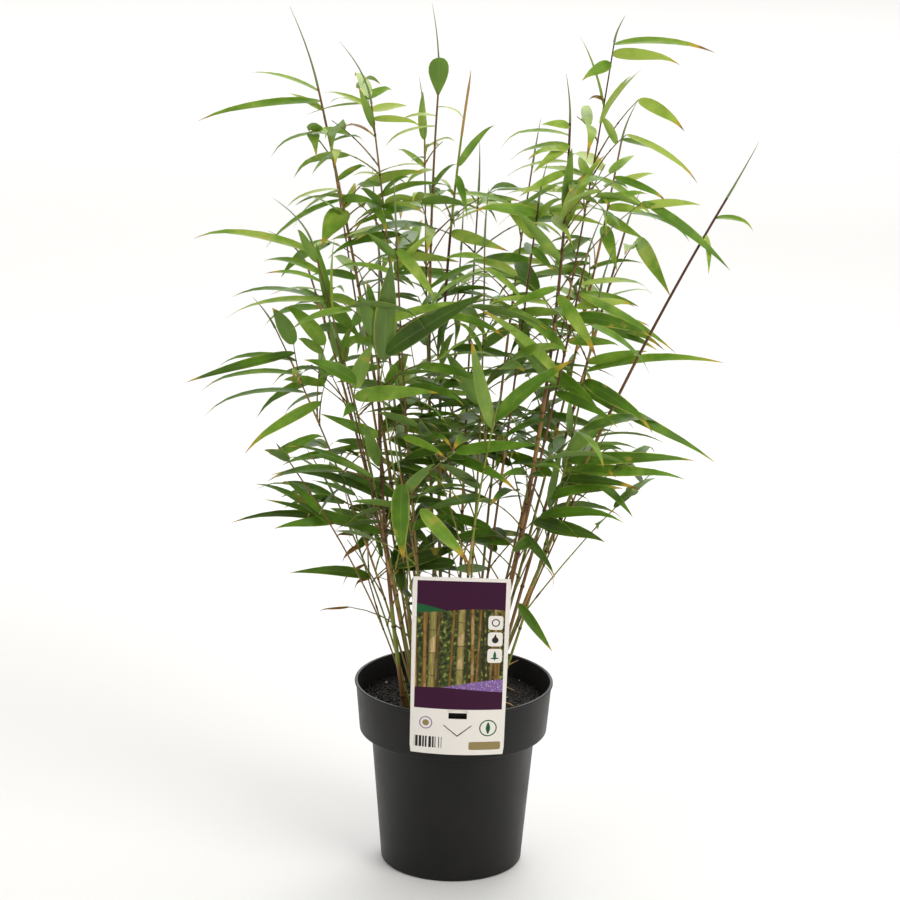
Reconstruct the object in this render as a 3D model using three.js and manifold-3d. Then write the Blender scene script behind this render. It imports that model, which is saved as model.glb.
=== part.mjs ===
// A potted pingwu bamboo: a clump of slender leafy canes growing from soil in a round nursery pot, with a
// plant card hooked over the rim. Millimetres, +Z up, the front of the pot towards -Y and its right
// towards +X. The origin is the middle of the pot's flat underside.
import * as THREE from "three";
import { mergeVertices } from "three/addons/utils/BufferGeometryUtils.js";
import Module from "manifold-3d";

const wasm = await Module();
wasm.setup();

// Pot
const POT_HEIGHT = 190;
const RIM_RADIUS = 100;
const LIP_HEIGHT = 2.6;
const LIP_OVERHANG = 1.4;
const LIP_BEVEL = 0.4;
const COLLAR_FOOT_RADIUS = 94.6;
const COLLAR_FOOT_HEIGHT = 138;
const COLLAR_EDGE = 2.4;
const BODY_TOP_RADIUS = 83;
const BASE_RADIUS = 71.6;
const BASE_EDGE = 2.5;
const WALL = 1.8;
const FLOOR = 3;
const DRAIN_HOLES = 6;
const DRAIN_RADIUS = 6;
const DRAIN_CIRCLE = 46;
const DRAIN_SIDES = 8;
const ROUND_SIDES = 32;

// Soil
const GAP = 0.3;
const SOIL_HEIGHT = 168;
const SOIL_RELIEF = 1.3;
const SOIL_WAVES = [57, 48, 23];
const SOIL_EDGE_DROP = 3;
const SOIL_RINGS = [42, 81];
const PLANTING_DEPTH = 24;

// Plant card
const CARD_WIDTH = 93;
const CARD_BOTTOM = 149;
const CARD_TOP = 331;
const CARD_THICKNESS = 0.8;
const CARD_FRONT = 104.6;
const CARD_MIDDLE = 1.4;
const CARD_LEAN = THREE.MathUtils.degToRad(0.8);
const CARD_BOW = 7;
const CARD_COLUMNS = 8;
const WINDOW = { width: 22, height: 12, bottom: 186.5 };
const SLIT = { width: 40, top: 183, depth: 15, gap: 0.9 };
const TONGUE = { width: 20, drop: 20, root: 3 };
const CUTTER_DEPTH = 20;

// Canes and blades
const CANE_SIDES = 4;
const CANE_STEPS = [0, 0.2, 0.4, 0.6, 0.8, 1];
const CANE_TOP_RADIUS = 1.15;
const TWIG_STEPS = [0, 0.5, 1];
const TWIG_RADIUS = 1.15;
const TWIG_BEND = { at: 0.4, lift: 0.16 };
const TWIG_THINNING = 0.3;
const BLADE_KEEL = 1.1;
const BLADE_ROOT = { half: 0.5, keel: 0.7 };
const BLADE_STATIONS = [
  { at: 0.17, share: 0.8 },
  { at: 0.42, share: 1 },
  { at: 0.74, share: 0.62 },
];
const SMALL_BLADE = 85;
const SMALL_STATIONS = [
  { at: 0.26, share: 0.95 },
  { at: 0.66, share: 0.74 },
];
const WIDTH_KEY = 16;
const LEAF_STEP = 9;
const SHARP_BEND = 0.6;
const NEARLY_UPRIGHT = 0.15;
const CLEARANCE = 0.4;
const SLIVER = 0.01;
const SEED = 20817;

// Each cane, as hand-traced: its root on the soil, the point its curve leans towards, where its leafy part
// ends, the tip of the rolled young leaf it ends in, its radius at the soil, and how many further sprays
// grow on it by rule. Its traced sprays follow: the height at which the twig leaves the cane, the place
// where its leaves spread, or none where they sit on the cane, and each leaf's tip, width and roll in
// degrees.
const CANES = [
  {
    root: [-31, -24], knee: [-70, 0, 480], top: [-141, 20, 785],
    spike: [-168, 20, 861], radius: 2.4, more: 1,
    sprays: [
      [780, null, [[-205, 10, 800, 10, 15], [-255, 0, 755, 11, 30], [-170, 40, 775, 8, 25]]],
      [740, null, [[-185, 0, 725, 10, 5], [-95, 5, 740, 8, -15]]],
      [695, null, [
        [-90, 0, 715, 8, 40], [-170, -10, 675, 8, 5], [-80, -15, 680, 9, -60], [-105, 45, 690, 8, -40],
      ]],
      [685, null, [
        [-175, 35, 655, 10, 25], [-190, 5, 630, 10, 20], [-135, -15, 640, 24, 20], [-155, -5, 690, 8, 15],
      ]],
    ],
  },
  {
    root: [-24, 10], knee: [-50, -5, 480], top: [-88, -20, 775],
    spike: [-119, -20, 834], radius: 2.3, more: 1,
    sprays: [
      [770, null, [
        [-135, -5, 785, 8, 20], [-40, -30, 760, 8, -45], [-100, -40, 795, 8, -60], [-115, -45, 760, 8, 30],
      ]],
      [705, null, [
        [-105, -40, 710, 8, 15], [-105, 10, 690, 8, 30], [-50, -30, 710, 8, -45], [-35, -40, 675, 8, -15],
      ]],
      [675, null, [[-90, -30, 705, 10, -30], [-65, 15, 655, 9, 50]]],
    ],
  },
  {
    root: [-12, 20], knee: [-40, 25, 520], top: [-25, 30, 780],
    spike: [-32, 30, 865], radius: 2.4, more: 1,
    sprays: [
      [775, null, [
        [-25, 20, 815, 20, -5], [0, 10, 760, 8, 5], [-60, 20, 755, 8, 10], [-75, 10, 735, 10, 0],
      ]],
      [705, null, [[-55, 0, 695, 8, 10], [-10, -10, 690, 8, 20], [-5, 45, 710, 8, 0]]],
    ],
  },
  {
    root: [-15, 46], knee: [-32, 60, 450], top: [-38, 60, 735],
    spike: [-44, 60, 790], radius: 2, more: 1,
    sprays: [
      [728, null, [
        [-40, 48, 782, 11, -50], [-8, 40, 735, 8, -15], [-50, 35, 712, 8, -5], [-68, 70, 720, 8, 25],
      ]],
    ],
  },
  {
    root: [-5, 0], knee: [-36, -5, 500], top: [4, -10, 790],
    spike: [6, -10, 808], radius: 2.4, more: 2,
    sprays: [
      [715, null, [
        [30, -20, 760, 8, 60], [5, -35, 675, 8, -10], [15, 10, 675, 8, 5], [55, -15, 675, 10, -15],
      ]],
      [650, null, [[45, -45, 640, 12, -60]]],
    ],
  },
  {
    root: [-30, -38], knee: [-80, -52, 430], top: [-141, -60, 645],
    spike: [-179, -60, 690], radius: 2.2, more: 1,
    sprays: [
      [638, null, [[-255, -55, 655, 11, 30], [-155, -78, 668, 9, -60]]],
      [618, null, [
        [-190, -35, 625, 10, 25], [-185, -80, 622, 8, 25], [-180, -95, 605, 8, 5],
        [-225, -55, 575, 11, 20],
      ]],
      [590, null, [[-165, -80, 605, 8, 50], [-140, -30, 645, 10, 15], [-120, -70, 665, 11, -20]]],
    ],
  },
  {
    root: [-33, -6], knee: [-82, 10, 400], top: [-150, 25, 605],
    spike: [-190, 35, 640], radius: 2, more: 3,
    sprays: [
      [575, null, [[-225, 30, 575, 10, 10], [-195, 60, 540, 10, 35]]],
    ],
  },
  {
    root: [-27, -52], knee: [-85, -50, 370], top: [-178, -42, 560],
    spike: [-200, -40, 590], radius: 2, more: 1,
    sprays: [
      [505, [-160, -45, 545], [[-180, -60, 585, 16, -60], [-265, -45, 505, 10, 60], [-235, -25, 520, 10, 20],
        [-160, -60, 518, 10, 15]]],
      [470, [-130, -45, 545], [[-170, -35, 585, 15, 60], [-155, -75, 560, 9, -60]]],
      [515, null, [[-250, -40, 500, 10, 15], [-205, -65, 495, 9, 35], [-250, -20, 470, 11, 10]]],
      [465, [-130, -45, 505], [
        [-180, -20, 515, 9, 60], [-195, -15, 480, 10, 30], [-215, -60, 462, 11, 60],
      ]],
    ],
  },
  {
    root: [-19, -60], knee: [-55, -88, 400], top: [-88, -95, 600],
    spike: [-100, -100, 640], radius: 2, more: 0,
    sprays: [
      [520, [-70, -98, 550], [[25, -118, 615, 22, -60], [-65, -112, 645, 22, 15]]],
      [575, null, [[10, -78, 605, 10, -45], [-98, -110, 615, 14, -40], [-90, -75, 622, 12, 25]]],
    ],
  },
  {
    root: [-18, -44], knee: [-50, -85, 420], top: [-62, -68, 660],
    spike: [-66, -60, 720], radius: 1.9, more: 2,
    sprays: [
      [645, null, [[-22, -95, 600, 11, -55], [-90, -85, 665, 9, -60], [-28, -60, 660, 9, -30],
        [-120, -78, 630, 10, 20]]],
      [510, null, [[5, -112, 510, 11, -45]]],
    ],
  },
  {
    root: [-30, -62], knee: [-72, -80, 380], top: [-118, -80, 560],
    spike: [-135, -78, 600], radius: 1.8, more: 1,
    sprays: [
      [500, [-115, -68, 540], [[-123, -80, 575, 10, -45], [-106, -58, 568, 10, -20]]],
      [490, [-98, -88, 520], [[-148, -102, 545, 15, 60], [-82, -100, 562, 15, 45], [-18, -112, 528, 16, -60],
        [-110, -105, 490, 11, 35]]],
    ],
  },
  {
    root: [-44, -44], knee: [-64, -62, 380], top: [-78, -58, 600],
    spike: [-80, -50, 650], radius: 2.5, more: 2,
    sprays: [
      [460, null, [[-125, -85, 495, 11, 60]]],
      [430, null, [[-90, -100, 485, 13, -60]]],
      [405, null, [[-165, -80, 455, 11, 20], [-182, -55, 420, 11, 30]]],
    ],
  },
  {
    root: [-39, -29], knee: [-64, -58, 290], top: [-170, -72, 446],
    spike: [-175, -80, 456], radius: 1.5, more: 0,
    sprays: [
      [444, null, [[-128, -82, 462, 10, -60], [-186, -92, 452, 12, -40]]],
      [380, null, [[-168, -76, 420, 10, 50], [-198, -50, 408, 11, 25]]],
    ],
  },
  {
    root: [-38, -16], knee: [-68, -45, 290], top: [-122, -38, 395],
    spike: [-150, -30, 440], radius: 1.6, more: 1,
    sprays: [
      [370, null, [[-178, -65, 368, 11, 60], [-222, -38, 362, 11, 30]]],
      [330, [-72, -58, 360], [[-190, -60, 388, 11, 50]]],
      [310, null, [[-162, -70, 322, 12, 50]]],
    ],
  },
  {
    root: [-10, -66], knee: [-35, -98, 330], top: [-56, -105, 440],
    spike: [-62, -108, 480], radius: 1.5, more: 0,
    sprays: [
      [425, null, [[-50, -122, 350, 19, -25], [-22, -126, 452, 10, 60]]],
      [370, [-35, -107, 400], [[15, -125, 352, 14, -60]]],
    ],
  },
  {
    root: [2, -60], knee: [8, -92, 370], top: [36, -108, 500],
    spike: [40, -112, 520], radius: 1.7, more: 0,
    sprays: [
      [490, null, [[110, -122, 555, 16, -60], [10, -120, 575, 13, -60]]],
      [380, [22, -84, 415], [[-18, -112, 448, 11, -60], [-32, -106, 398, 9, 60]]],
      [450, [20, -72, 495], [[-15, -95, 555, 14, -60]]],
    ],
  },
  {
    root: [12, -30], knee: [45, -55, 430], top: [72, -58, 690],
    spike: [80, -56, 730], radius: 2, more: 2,
    sprays: [
      [680, null, [[10, -80, 690, 12, 60], [95, -75, 700, 13, -50]]],
      [655, null, [[38, -40, 685, 9, 60], [88, -88, 630, 9, -35]]],
    ],
  },
  {
    root: [5, -40], knee: [25, -52, 420], top: [22, -42, 645],
    spike: [25, -40, 700], radius: 1.9, more: 2,
    sprays: [
      [632, null, [[-18, -58, 635, 9, 30], [62, -60, 592, 10, -15]]],
      [545, null, [[58, -78, 580, 10, 60], [-5, -72, 580, 11, 60]]],
    ],
  },
  {
    root: [21, -56], knee: [72, -68, 400], top: [118, -50, 630],
    spike: [135, -45, 680], radius: 2, more: 1,
    sprays: [
      [610, null, [[185, -10, 600, 9, -25], [215, -48, 550, 11, -45]]],
      [560, [90, -72, 610], [[42, -92, 592, 9, 40], [130, -98, 552, 13, -55]]],
      [588, null, [[168, -38, 590, 10, -60], [182, -78, 568, 14, -60]]],
      [555, null, [[155, -38, 550, 11, -50], [28, -72, 600, 11, 60]]],
      [520, null, [[15, -75, 592, 12, 60], [50, -85, 565, 10, -60]]],
      [505, null, [[152, -102, 488, 11, -45]]],
    ],
  },
  {
    root: [16, 8], knee: [94, 10, 460], top: [143, 20, 832],
    spike: [153, 20, 858], radius: 2.4, more: 2,
    sprays: [
      [830, null, [[240, 15, 825, 12, -25], [205, -5, 820, 13, -55], [112, 0, 800, 12, 55]]],
      [770, null, [[115, 10, 845, 9, 5], [172, 38, 805, 9, -5], [160, 0, 806, 8, 20]]],
      [715, [165, -30, 785], [[208, -52, 762, 12, -60]]],
      [700, [155, -22, 750], [[225, -20, 708, 10, -30], [200, 8, 725, 9, -35], [128, -44, 772, 8, -40]]],
    ],
  },
  {
    root: [22, -16], knee: [98, -50, 480], top: [100, -50, 765],
    spike: [95, -50, 812], radius: 2.5, more: 1,
    sprays: [
      [762, null, [[72, -78, 768, 9, 60], [35, -50, 750, 10, 10], [45, -28, 728, 10, 25]]],
      [745, null, [[82, -80, 705, 10, 40], [60, -90, 738, 9, 25]]],
      [728, null, [[42, -30, 712, 10, 10], [50, -66, 702, 9, 40]]],
      [680, null, [
        [102, -62, 748, 10, 5], [118, -68, 725, 12, 10], [135, -25, 735, 10, -35], [65, -68, 682, 9, 30],
      ]],
      [632, null, [[58, -78, 708, 11, -50]]],
      [552, [36, -72, 668], [
        [-4, -88, 675, 9, 25], [-12, -62, 650, 9, 35], [60, -58, 688, 9, -10], [75, -92, 618, 11, -60],
      ]],
      [600, [171, -60, 693], [[255, -70, 630, 11, -50], [226, -52, 690, 10, -45], [215, -78, 662, 9, -10]]],
    ],
  },
  {
    root: [26, 26], knee: [106, 42, 440], top: [155, 58, 730],
    spike: [170, 62, 770], radius: 2.1, more: 2,
    sprays: [
      [695, null, [[202, 48, 675, 9, -45], [190, 85, 695, 9, -30]]],
      [665, null, [[182, 55, 660, 9, -60], [178, 15, 642, 11, -55], [152, 12, 612, 13, -15]]],
    ],
  },
  {
    root: [22, -40], knee: [110, -55, 440], top: [250, -60, 698],
    spike: [278, -60, 752], radius: 2.2, more: 0,
    sprays: [
      [678, null, [[275, -72, 674, 9, -20]]],
      [662, null, [[236, -78, 632, 8, 35]]],
    ],
  },
  {
    root: [30, -29], knee: [102, -45, 360], top: [134, -36, 600],
    spike: [150, -30, 650], radius: 2.2, more: 0,
    sprays: [
      [565, null, [[192, -22, 540, 10, -50]]],
      [530, null, [
        [180, -30, 548, 10, -60], [255, -50, 535, 12, -30], [187, -80, 480, 14, -60],
        [255, -62, 450, 12, -60],
      ]],
      [455, null, [[108, -62, 508, 12, -60]]],
      [440, null, [
        [162, -70, 482, 16, 60], [228, -60, 450, 13, -60], [222, -32, 424, 12, -60],
        [180, -82, 428, 11, -60],
      ]],
    ],
  },
  {
    root: [14, -68], knee: [58, -62, 290], top: [130, -42, 432],
    spike: [150, -40, 470], radius: 1.7, more: 0,
    sprays: [
      [420, null, [[172, -58, 380, 11, -40], [155, -20, 405, 10, -60]]],
      [370, [88, -46, 395], [[158, -45, 395, 11, -50], [102, -66, 455, 10, 0]]],
      [350, [82, -46, 376], [[168, -56, 378, 12, -50], [146, -74, 358, 15, -60]]],
      [330, [66, -56, 362], [[97, -72, 328, 9, -60], [46, -78, 360, 12, 50]]],
      [270, [62, -62, 292], [[96, -78, 248, 10, -60]]],
    ],
  },
  {
    root: [-33, 24], knee: [-80, 62, 420], top: [-128, 108, 690],
    spike: [-140, 118, 740], radius: 2.2, more: 5,
    sprays: [],
  },
  {
    root: [-23, 58], knee: [-62, 108, 400], top: [-88, 168, 630],
    spike: [-92, 180, 680], radius: 2.1, more: 4,
    sprays: [],
  },
  {
    root: [-3, 64], knee: [-12, 112, 380], top: [0, 150, 600],
    spike: [2, 160, 650], radius: 2, more: 5,
    sprays: [],
  },
  {
    root: [20, 56], knee: [34, 100, 430], top: [70, 130, 690],
    spike: [78, 138, 740], radius: 2.2, more: 4,
    sprays: [],
  },
  {
    root: [31, 8], knee: [100, 50, 400], top: [165, 118, 630],
    spike: [180, 128, 670], radius: 2.1, more: 5,
    sprays: [],
  },
  {
    root: [4, 26], knee: [4, 36, 430], top: [16, 50, 680],
    spike: [16, 54, 730], radius: 2.2, more: 5,
    sprays: [],
  },
];

// Rule for the further sprays: where on the cane they start, and what their twigs and leaves measure
const LEAFY_FROM = 0.32;
const LEAFY_TO = 0.94;
const TWIG_LENGTH = { least: 52, spread: 46, low: 1.15, lessUp: 0.4 };
const TWIG_RISE = { least: 0.35, spread: 0.5 };
const FOUR_LEAVES = 0.35;
const LEAF_SPAN = { first: 62, others: 50, spread: 38 };
const LEAF_WIDTH = { base: 4, least: 0.1, spread: 0.05 };
const LEAF_RISE = { most: 0.25, spread: 0.75 };
const LEAF_BEARING = 0.5;
const LEAF_ROLL = 1.5;
const LEAF_DROOP = { least: 0.22, level: 0.5 };
const GOLDEN_TURN = THREE.MathUtils.degToRad(137.5);
const LEAF_FAN = [0, 52, -48, 24].map(THREE.MathUtils.degToRad);
const CANE_TRY = 4;
const TWIG_TRY = { height: 9, turn: THREE.MathUtils.degToRad(16), rise: THREE.MathUtils.degToRad(9) };
const LEAF_TRY = THREE.MathUtils.degToRad(5);
const WIDEST_TRY = 5;

// The crown, seen from above as an oval that widens upwards to its girdle and narrows again above it. A
// cleft parts its two heads, and the space over the card stays open.
const CROWN = {
  floor: 300,
  flare: 400,
  footRadius: 110,
  opening: 0.85,
  girdle: 205,
  shoulder: 640,
  taper: 0.35,
};
const CROWN_DEPTH = 1.12;
const CLEFT = { middle: 32, halfWidth: 36, floor: 690, slope: 2 };
const CARD_CLEARING = { front: -60, middle: 5, half: 75, top: 400 };
const CROWN_FRONT = -132;
const TWIG_MARGIN = 30;

// The tries by which a growing piece is turned until it is clear of its neighbours, in widening squares.
const TRIES = [];
for (let reach = 0; reach <= WIDEST_TRY; reach += 1) {
  for (let across = -reach; across <= reach; across += 1) {
    for (let up = -reach; up <= reach; up += 1) {
      if (Math.max(Math.abs(across), Math.abs(up)) === reach) TRIES.push([across, up]);
    }
  }
}

const vector = (x, y, z) => new THREE.Vector3(x, y, z);
const UP = vector(0, 0, 1);

// The unit direction of a compass bearing and a lift above level, both in radians.
const bearingOf = (bearing, lift) =>
  vector(Math.cos(bearing) * Math.cos(lift), Math.sin(bearing) * Math.cos(lift), Math.sin(lift));

// A seeded draw from 0 to 1 that depends only on its keys.
function draw(...keys) {
  let mixed = SEED;
  for (const key of keys) {
    mixed = Math.imul(mixed ^ key, 0x9e3779b1) >>> 0;
    mixed = (mixed ^ (mixed >>> 15)) >>> 0;
    mixed = Math.imul(mixed, 0x85ebca6b) >>> 0;
    mixed = (mixed ^ (mixed >>> 13)) >>> 0;
  }
  return mixed / 4294967296;
}

// A closed geometry as a solid, with its doubled vertices merged and its collapsed faces dropped.
function solidOf(geometry) {
  const bare = geometry.clone();
  for (const name of Object.keys(bare.attributes)) {
    if (name !== "position") bare.deleteAttribute(name);
  }
  const merged = mergeVertices(bare, 1e-3);
  const triVerts = [];
  for (let i = 0; i < merged.index.count; i += 3) {
    const [a, b, c] = [0, 1, 2].map((corner) => merged.index.getX(i + corner));
    if (a !== b && b !== c && c !== a) triVerts.push(a, b, c);
  }
  return new wasm.Manifold(
    new wasm.Mesh({
      numProp: 3,
      vertProperties: new Float32Array(merged.attributes.position.array),
      triVerts: new Uint32Array(triVerts),
    }),
  );
}

// A solid skinned over rings of points, each ring turning anticlockwise about the way the rings go. It is
// closed by a flat cap at each end, or by the given tip.
function loft(rings, tip) {
  const sides = rings[0].length;
  const points = rings.flat();
  const faces = [];
  for (let side = 2; side < sides; side += 1) faces.push(0, side, side - 1);
  for (let ring = 0; ring + 1 < rings.length; ring += 1) {
    for (let side = 0; side < sides; side += 1) {
      const here = ring * sides + side;
      const beside = ring * sides + ((side + 1) % sides);
      faces.push(here, beside, beside + sides, here, beside + sides, here + sides);
    }
  }
  const last = (rings.length - 1) * sides;
  if (tip) {
    points.push(tip);
    for (let side = 0; side < sides; side += 1) {
      faces.push(last + side, last + ((side + 1) % sides), points.length - 1);
    }
  } else {
    for (let side = 2; side < sides; side += 1) faces.push(last, last + side - 1, last + side);
  }
  const geometry = new THREE.BufferGeometry().setFromPoints(points);
  geometry.setIndex(faces);
  return solidOf(geometry);
}

// A closed profile turned about the vertical axis.
function turned(profile) {
  const points = profile.map(([radius, height]) => new THREE.Vector2(radius, height));
  return new THREE.LatheGeometry(points, ROUND_SIDES).rotateX(Math.PI / 2);
}

function meshOf(name, solid, material) {
  const { numProp, vertProperties, triVerts } = solid.getMesh();
  const geometry = new THREE.BufferGeometry();
  const positions = new Float32Array((vertProperties.length / numProp) * 3);
  for (let i = 0; i * 3 < positions.length; i += 1) {
    positions.set(vertProperties.subarray(i * numProp, i * numProp + 3), i * 3);
  }
  geometry.setAttribute("position", new THREE.BufferAttribute(positions, 3));
  geometry.setIndex(new THREE.BufferAttribute(triVerts, 1));
  geometry.computeVertexNormals();
  const mesh = new THREE.Mesh(geometry, material);
  mesh.name = name;
  return mesh;
}

// The pot: a thin moulded wall with a deeper collar, a rolled lip and a floor pierced for drainage. Its
// inner face is the outer one moved in by the wall.
const collarTop = POT_HEIGHT - LIP_HEIGHT;
const collarTopRadius = RIM_RADIUS - LIP_OVERHANG;
const shelf = COLLAR_FOOT_HEIGHT + COLLAR_EDGE;
const innerProfile = [
  [BASE_RADIUS - WALL, FLOOR],
  [BODY_TOP_RADIUS - WALL, shelf],
  [COLLAR_FOOT_RADIUS - WALL, shelf + WALL],
  [collarTopRadius - WALL, POT_HEIGHT],
];

function makePot() {
  const outerProfile = [
    [BASE_RADIUS - BASE_EDGE, 0],
    [BASE_RADIUS, BASE_EDGE],
    [BODY_TOP_RADIUS, COLLAR_FOOT_HEIGHT],
    [COLLAR_FOOT_RADIUS - COLLAR_EDGE, COLLAR_FOOT_HEIGHT],
    [COLLAR_FOOT_RADIUS, COLLAR_FOOT_HEIGHT + COLLAR_EDGE],
    [collarTopRadius, collarTop],
    [RIM_RADIUS, collarTop + LIP_BEVEL],
    [RIM_RADIUS, POT_HEIGHT],
  ];
  const profile = [[0, 0], ...outerProfile, ...innerProfile.toReversed(), [0, FLOOR]];
  let pot = solidOf(turned(profile));
  const drill = new THREE.CylinderGeometry(DRAIN_RADIUS, DRAIN_RADIUS, FLOOR * 4, DRAIN_SIDES);
  drill.rotateX(Math.PI / 2);
  for (let hole = 0; hole < DRAIN_HOLES; hole += 1) {
    const turn = ((hole + 0.5) / DRAIN_HOLES) * 2 * Math.PI;
    const placed = drill.clone().translate(DRAIN_CIRCLE * Math.cos(turn), DRAIN_CIRCLE * Math.sin(turn), 0);
    pot = pot.subtract(solidOf(placed));
  }
  return pot;
}

// A cane's curve is a quadratic one from its foot to its leafy end.
function canePoint(cane, t) {
  const a = (1 - t) * (1 - t);
  const b = 2 * t * (1 - t);
  const onWay = cane.foot.clone().multiplyScalar(a).addScaledVector(cane.bend, b);
  return onWay.addScaledVector(cane.end, t * t);
}

// A point on the straight stretches that the cane is built of.
function onCane(cane, t) {
  const next = CANE_STEPS.findIndex((step, index) => index > 0 && t <= step);
  const [from, to] = [CANE_STEPS[next - 1], CANE_STEPS[next]];
  return canePoint(cane, from).lerp(canePoint(cane, to), (t - from) / (to - from));
}

function caneDirection(cane, t) {
  const low = cane.bend.clone().sub(cane.foot).multiplyScalar(1 - t);
  return cane.end.clone().sub(cane.bend).multiplyScalar(t).add(low).normalize();
}

function caneRadius(cane, t) {
  return cane.radius + (CANE_TOP_RADIUS - cane.radius) * t;
}

// Where on its curve a cane reaches a height.
function caneAt(cane, height) {
  let low = 0;
  let high = 1;
  for (let halving = 0; halving < 30; halving += 1) {
    const middle = (low + high) / 2;
    if (canePoint(cane, middle).z < height) low = middle;
    else high = middle;
  }
  return (low + high) / 2;
}

function caneRing(cane, t, grow) {
  const along = caneDirection(cane, t);
  const across = vector(0, 1, 0).cross(along).normalize();
  const third = along.clone().cross(across);
  const centre = canePoint(cane, t);
  return Array.from({ length: CANE_SIDES }, (_, side) => {
    const turn = (side / CANE_SIDES) * 2 * Math.PI;
    return centre
      .clone()
      .addScaledVector(across, Math.cos(turn) * (caneRadius(cane, t) + grow))
      .addScaledVector(third, Math.sin(turn) * (caneRadius(cane, t) + grow));
  });
}

function caneSolid(cane, grow) {
  const rings = CANE_STEPS.map((t) => caneRing(cane, t, grow));
  return loft(rings, vector(...cane.spike));
}

// The plain hole that a cane stands in, down through the soil.
function caneHole(cane) {
  const rings = [0, CANE_STEPS[1]].map((t) => caneRing(cane, t, GAP * Math.SQRT2));
  for (const point of rings[0]) point.z -= GAP;
  return loft(rings);
}

// A twig from a cane to where its leaves spread: it leaves along the cane and then bends over.
function makeTwig(start, direction, end, radius) {
  const length = start.distanceTo(end);
  const control = start.clone().lerp(end, TWIG_BEND.at).addScaledVector(direction, length * TWIG_BEND.lift);
  const point = (t) =>
    vector(0, 0, 0)
      .addScaledVector(start, (1 - t) * (1 - t))
      .addScaledVector(control, 2 * t * (1 - t))
      .addScaledVector(end, t * t);
  const middle = point(0.5);
  const on = (t) => (t < 0.5 ? start.clone().lerp(middle, t * 2) : middle.clone().lerp(end, t * 2 - 1));
  return { start, end, length, point, on, radius };
}

// The two directions across a line: one level, the other upright to both, turned about it by a roll.
function frameOf(along, roll) {
  const level = along.clone().cross(UP);
  if (level.length() < NEARLY_UPRIGHT) level.set(0, -1, 0).addScaledVector(along, along.y);
  level.normalize();
  const upright = level.clone().cross(along);
  const side = level.clone().multiplyScalar(Math.cos(roll)).addScaledVector(upright, Math.sin(roll));
  const normal = upright.clone().multiplyScalar(Math.cos(roll)).addScaledVector(level, -Math.sin(roll));
  return { side, normal };
}

// A three-cornered ring: two edges and a keel below. Grown by a clearance it has five corners.
function triangleRing(centre, side, normal, half, keel, grow) {
  const corner = (across, up) => centre.clone().addScaledVector(side, across).addScaledVector(normal, up);
  if (grow === 0) return [corner(half, 0), corner(0, -keel), corner(-half, 0)];
  const wide = half + grow;
  const below = corner(0, -keel - grow);
  return [corner(wide, grow), corner(wide, -grow), below, corner(-wide, -grow), corner(-wide, grow)];
}

function twigRings(twig, grow) {
  const along = twig.end.clone().sub(twig.start).normalize();
  const { side, normal } = frameOf(along, 0);
  return TWIG_STEPS.map((t) => {
    const size = twig.radius * (1 - TWIG_THINNING * t);
    const centre = twig.point(t).addScaledVector(normal, size * 0.5);
    return triangleRing(centre, side, normal, size, size * 1.5, grow);
  });
}

// A leaf bends down along an arc of the given turn between its root and its tip.
function makeLeaf(root, tip, width, roll, droop) {
  const chord = tip.clone().sub(root);
  const span = chord.length();
  chord.normalize();
  const { side, normal } = frameOf(chord, roll);
  const half = droop / 2;
  const along = chord.clone().multiplyScalar(Math.cos(half)).addScaledVector(normal, Math.sin(half));
  const up = normal.clone().multiplyScalar(Math.cos(half)).addScaledVector(chord, -Math.sin(half));
  return { root, tip, width, droop, side, along, up, length: (span * half) / Math.sin(half) };
}

function leafPoint(leaf, s) {
  const reach = leaf.length / leaf.droop;
  const turn = leaf.droop * s;
  return leaf.root
    .clone()
    .addScaledVector(leaf.along, reach * Math.sin(turn))
    .addScaledVector(leaf.up, -reach * (1 - Math.cos(turn)));
}

function leafNormal(leaf, s) {
  const turn = leaf.droop * s;
  return leaf.up.clone().multiplyScalar(Math.cos(turn)).addScaledVector(leaf.along, Math.sin(turn));
}

function bladeRings(leaf, grow) {
  const stations = leaf.length < SMALL_BLADE ? SMALL_STATIONS : BLADE_STATIONS;
  return stations.map(({ at, share }) => {
    const half = (leaf.width / 2) * share;
    return triangleRing(leafPoint(leaf, at), leaf.side, leafNormal(leaf, at), half, BLADE_KEEL, grow);
  });
}

function leafSolid(leaf, grow) {
  const root = triangleRing(leaf.root, leaf.side, leaf.up, BLADE_ROOT.half, BLADE_ROOT.keel, grow);
  const rings = [root, ...bladeRings(leaf, grow)];
  if (grow === 0) return loft(rings, leaf.tip);
  rings.push(triangleRing(leafPoint(leaf, 1), leaf.side, leafNormal(leaf, 1), 0, 0, grow));
  return loft(rings, leafPoint(leaf, 1 + grow / leaf.length));
}

// A twig that runs on into the leaf at its end. The corners of its rings are matched to the leaf's.
function leafyTwigSolid(twig, leaf) {
  const rings = twigRings(twig, 0);
  const right = rings.at(-1).map((corner) => corner.clone().sub(twig.end).dot(leaf.side));
  const first = right.indexOf(Math.max(...right));
  const matched = rings.map((ring) => [...ring.slice(first), ...ring.slice(0, first)]);
  return loft([...matched, ...bladeRings(leaf, 0)], leaf.tip);
}

// What has grown so far, so that the next piece can be kept clear of it.
const grown = [];

function boxesMeet(a, b) {
  return [0, 1, 2].every((axis) => a.min[axis] <= b.max[axis] && b.min[axis] <= a.max[axis]);
}

function isClear(solid, cane, spray) {
  const box = solid.boundingBox();
  return grown.every((other) => {
    if (other.cane === cane && (other.spray === 0 || other.spray === spray)) return true;
    return !boxesMeet(box, other.box) || solid.intersect(other.solid).isEmpty();
  });
}

function keep(cane, spray, solid) {
  grown.push({ cane, spray, solid, box: solid.boundingBox() });
}

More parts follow.
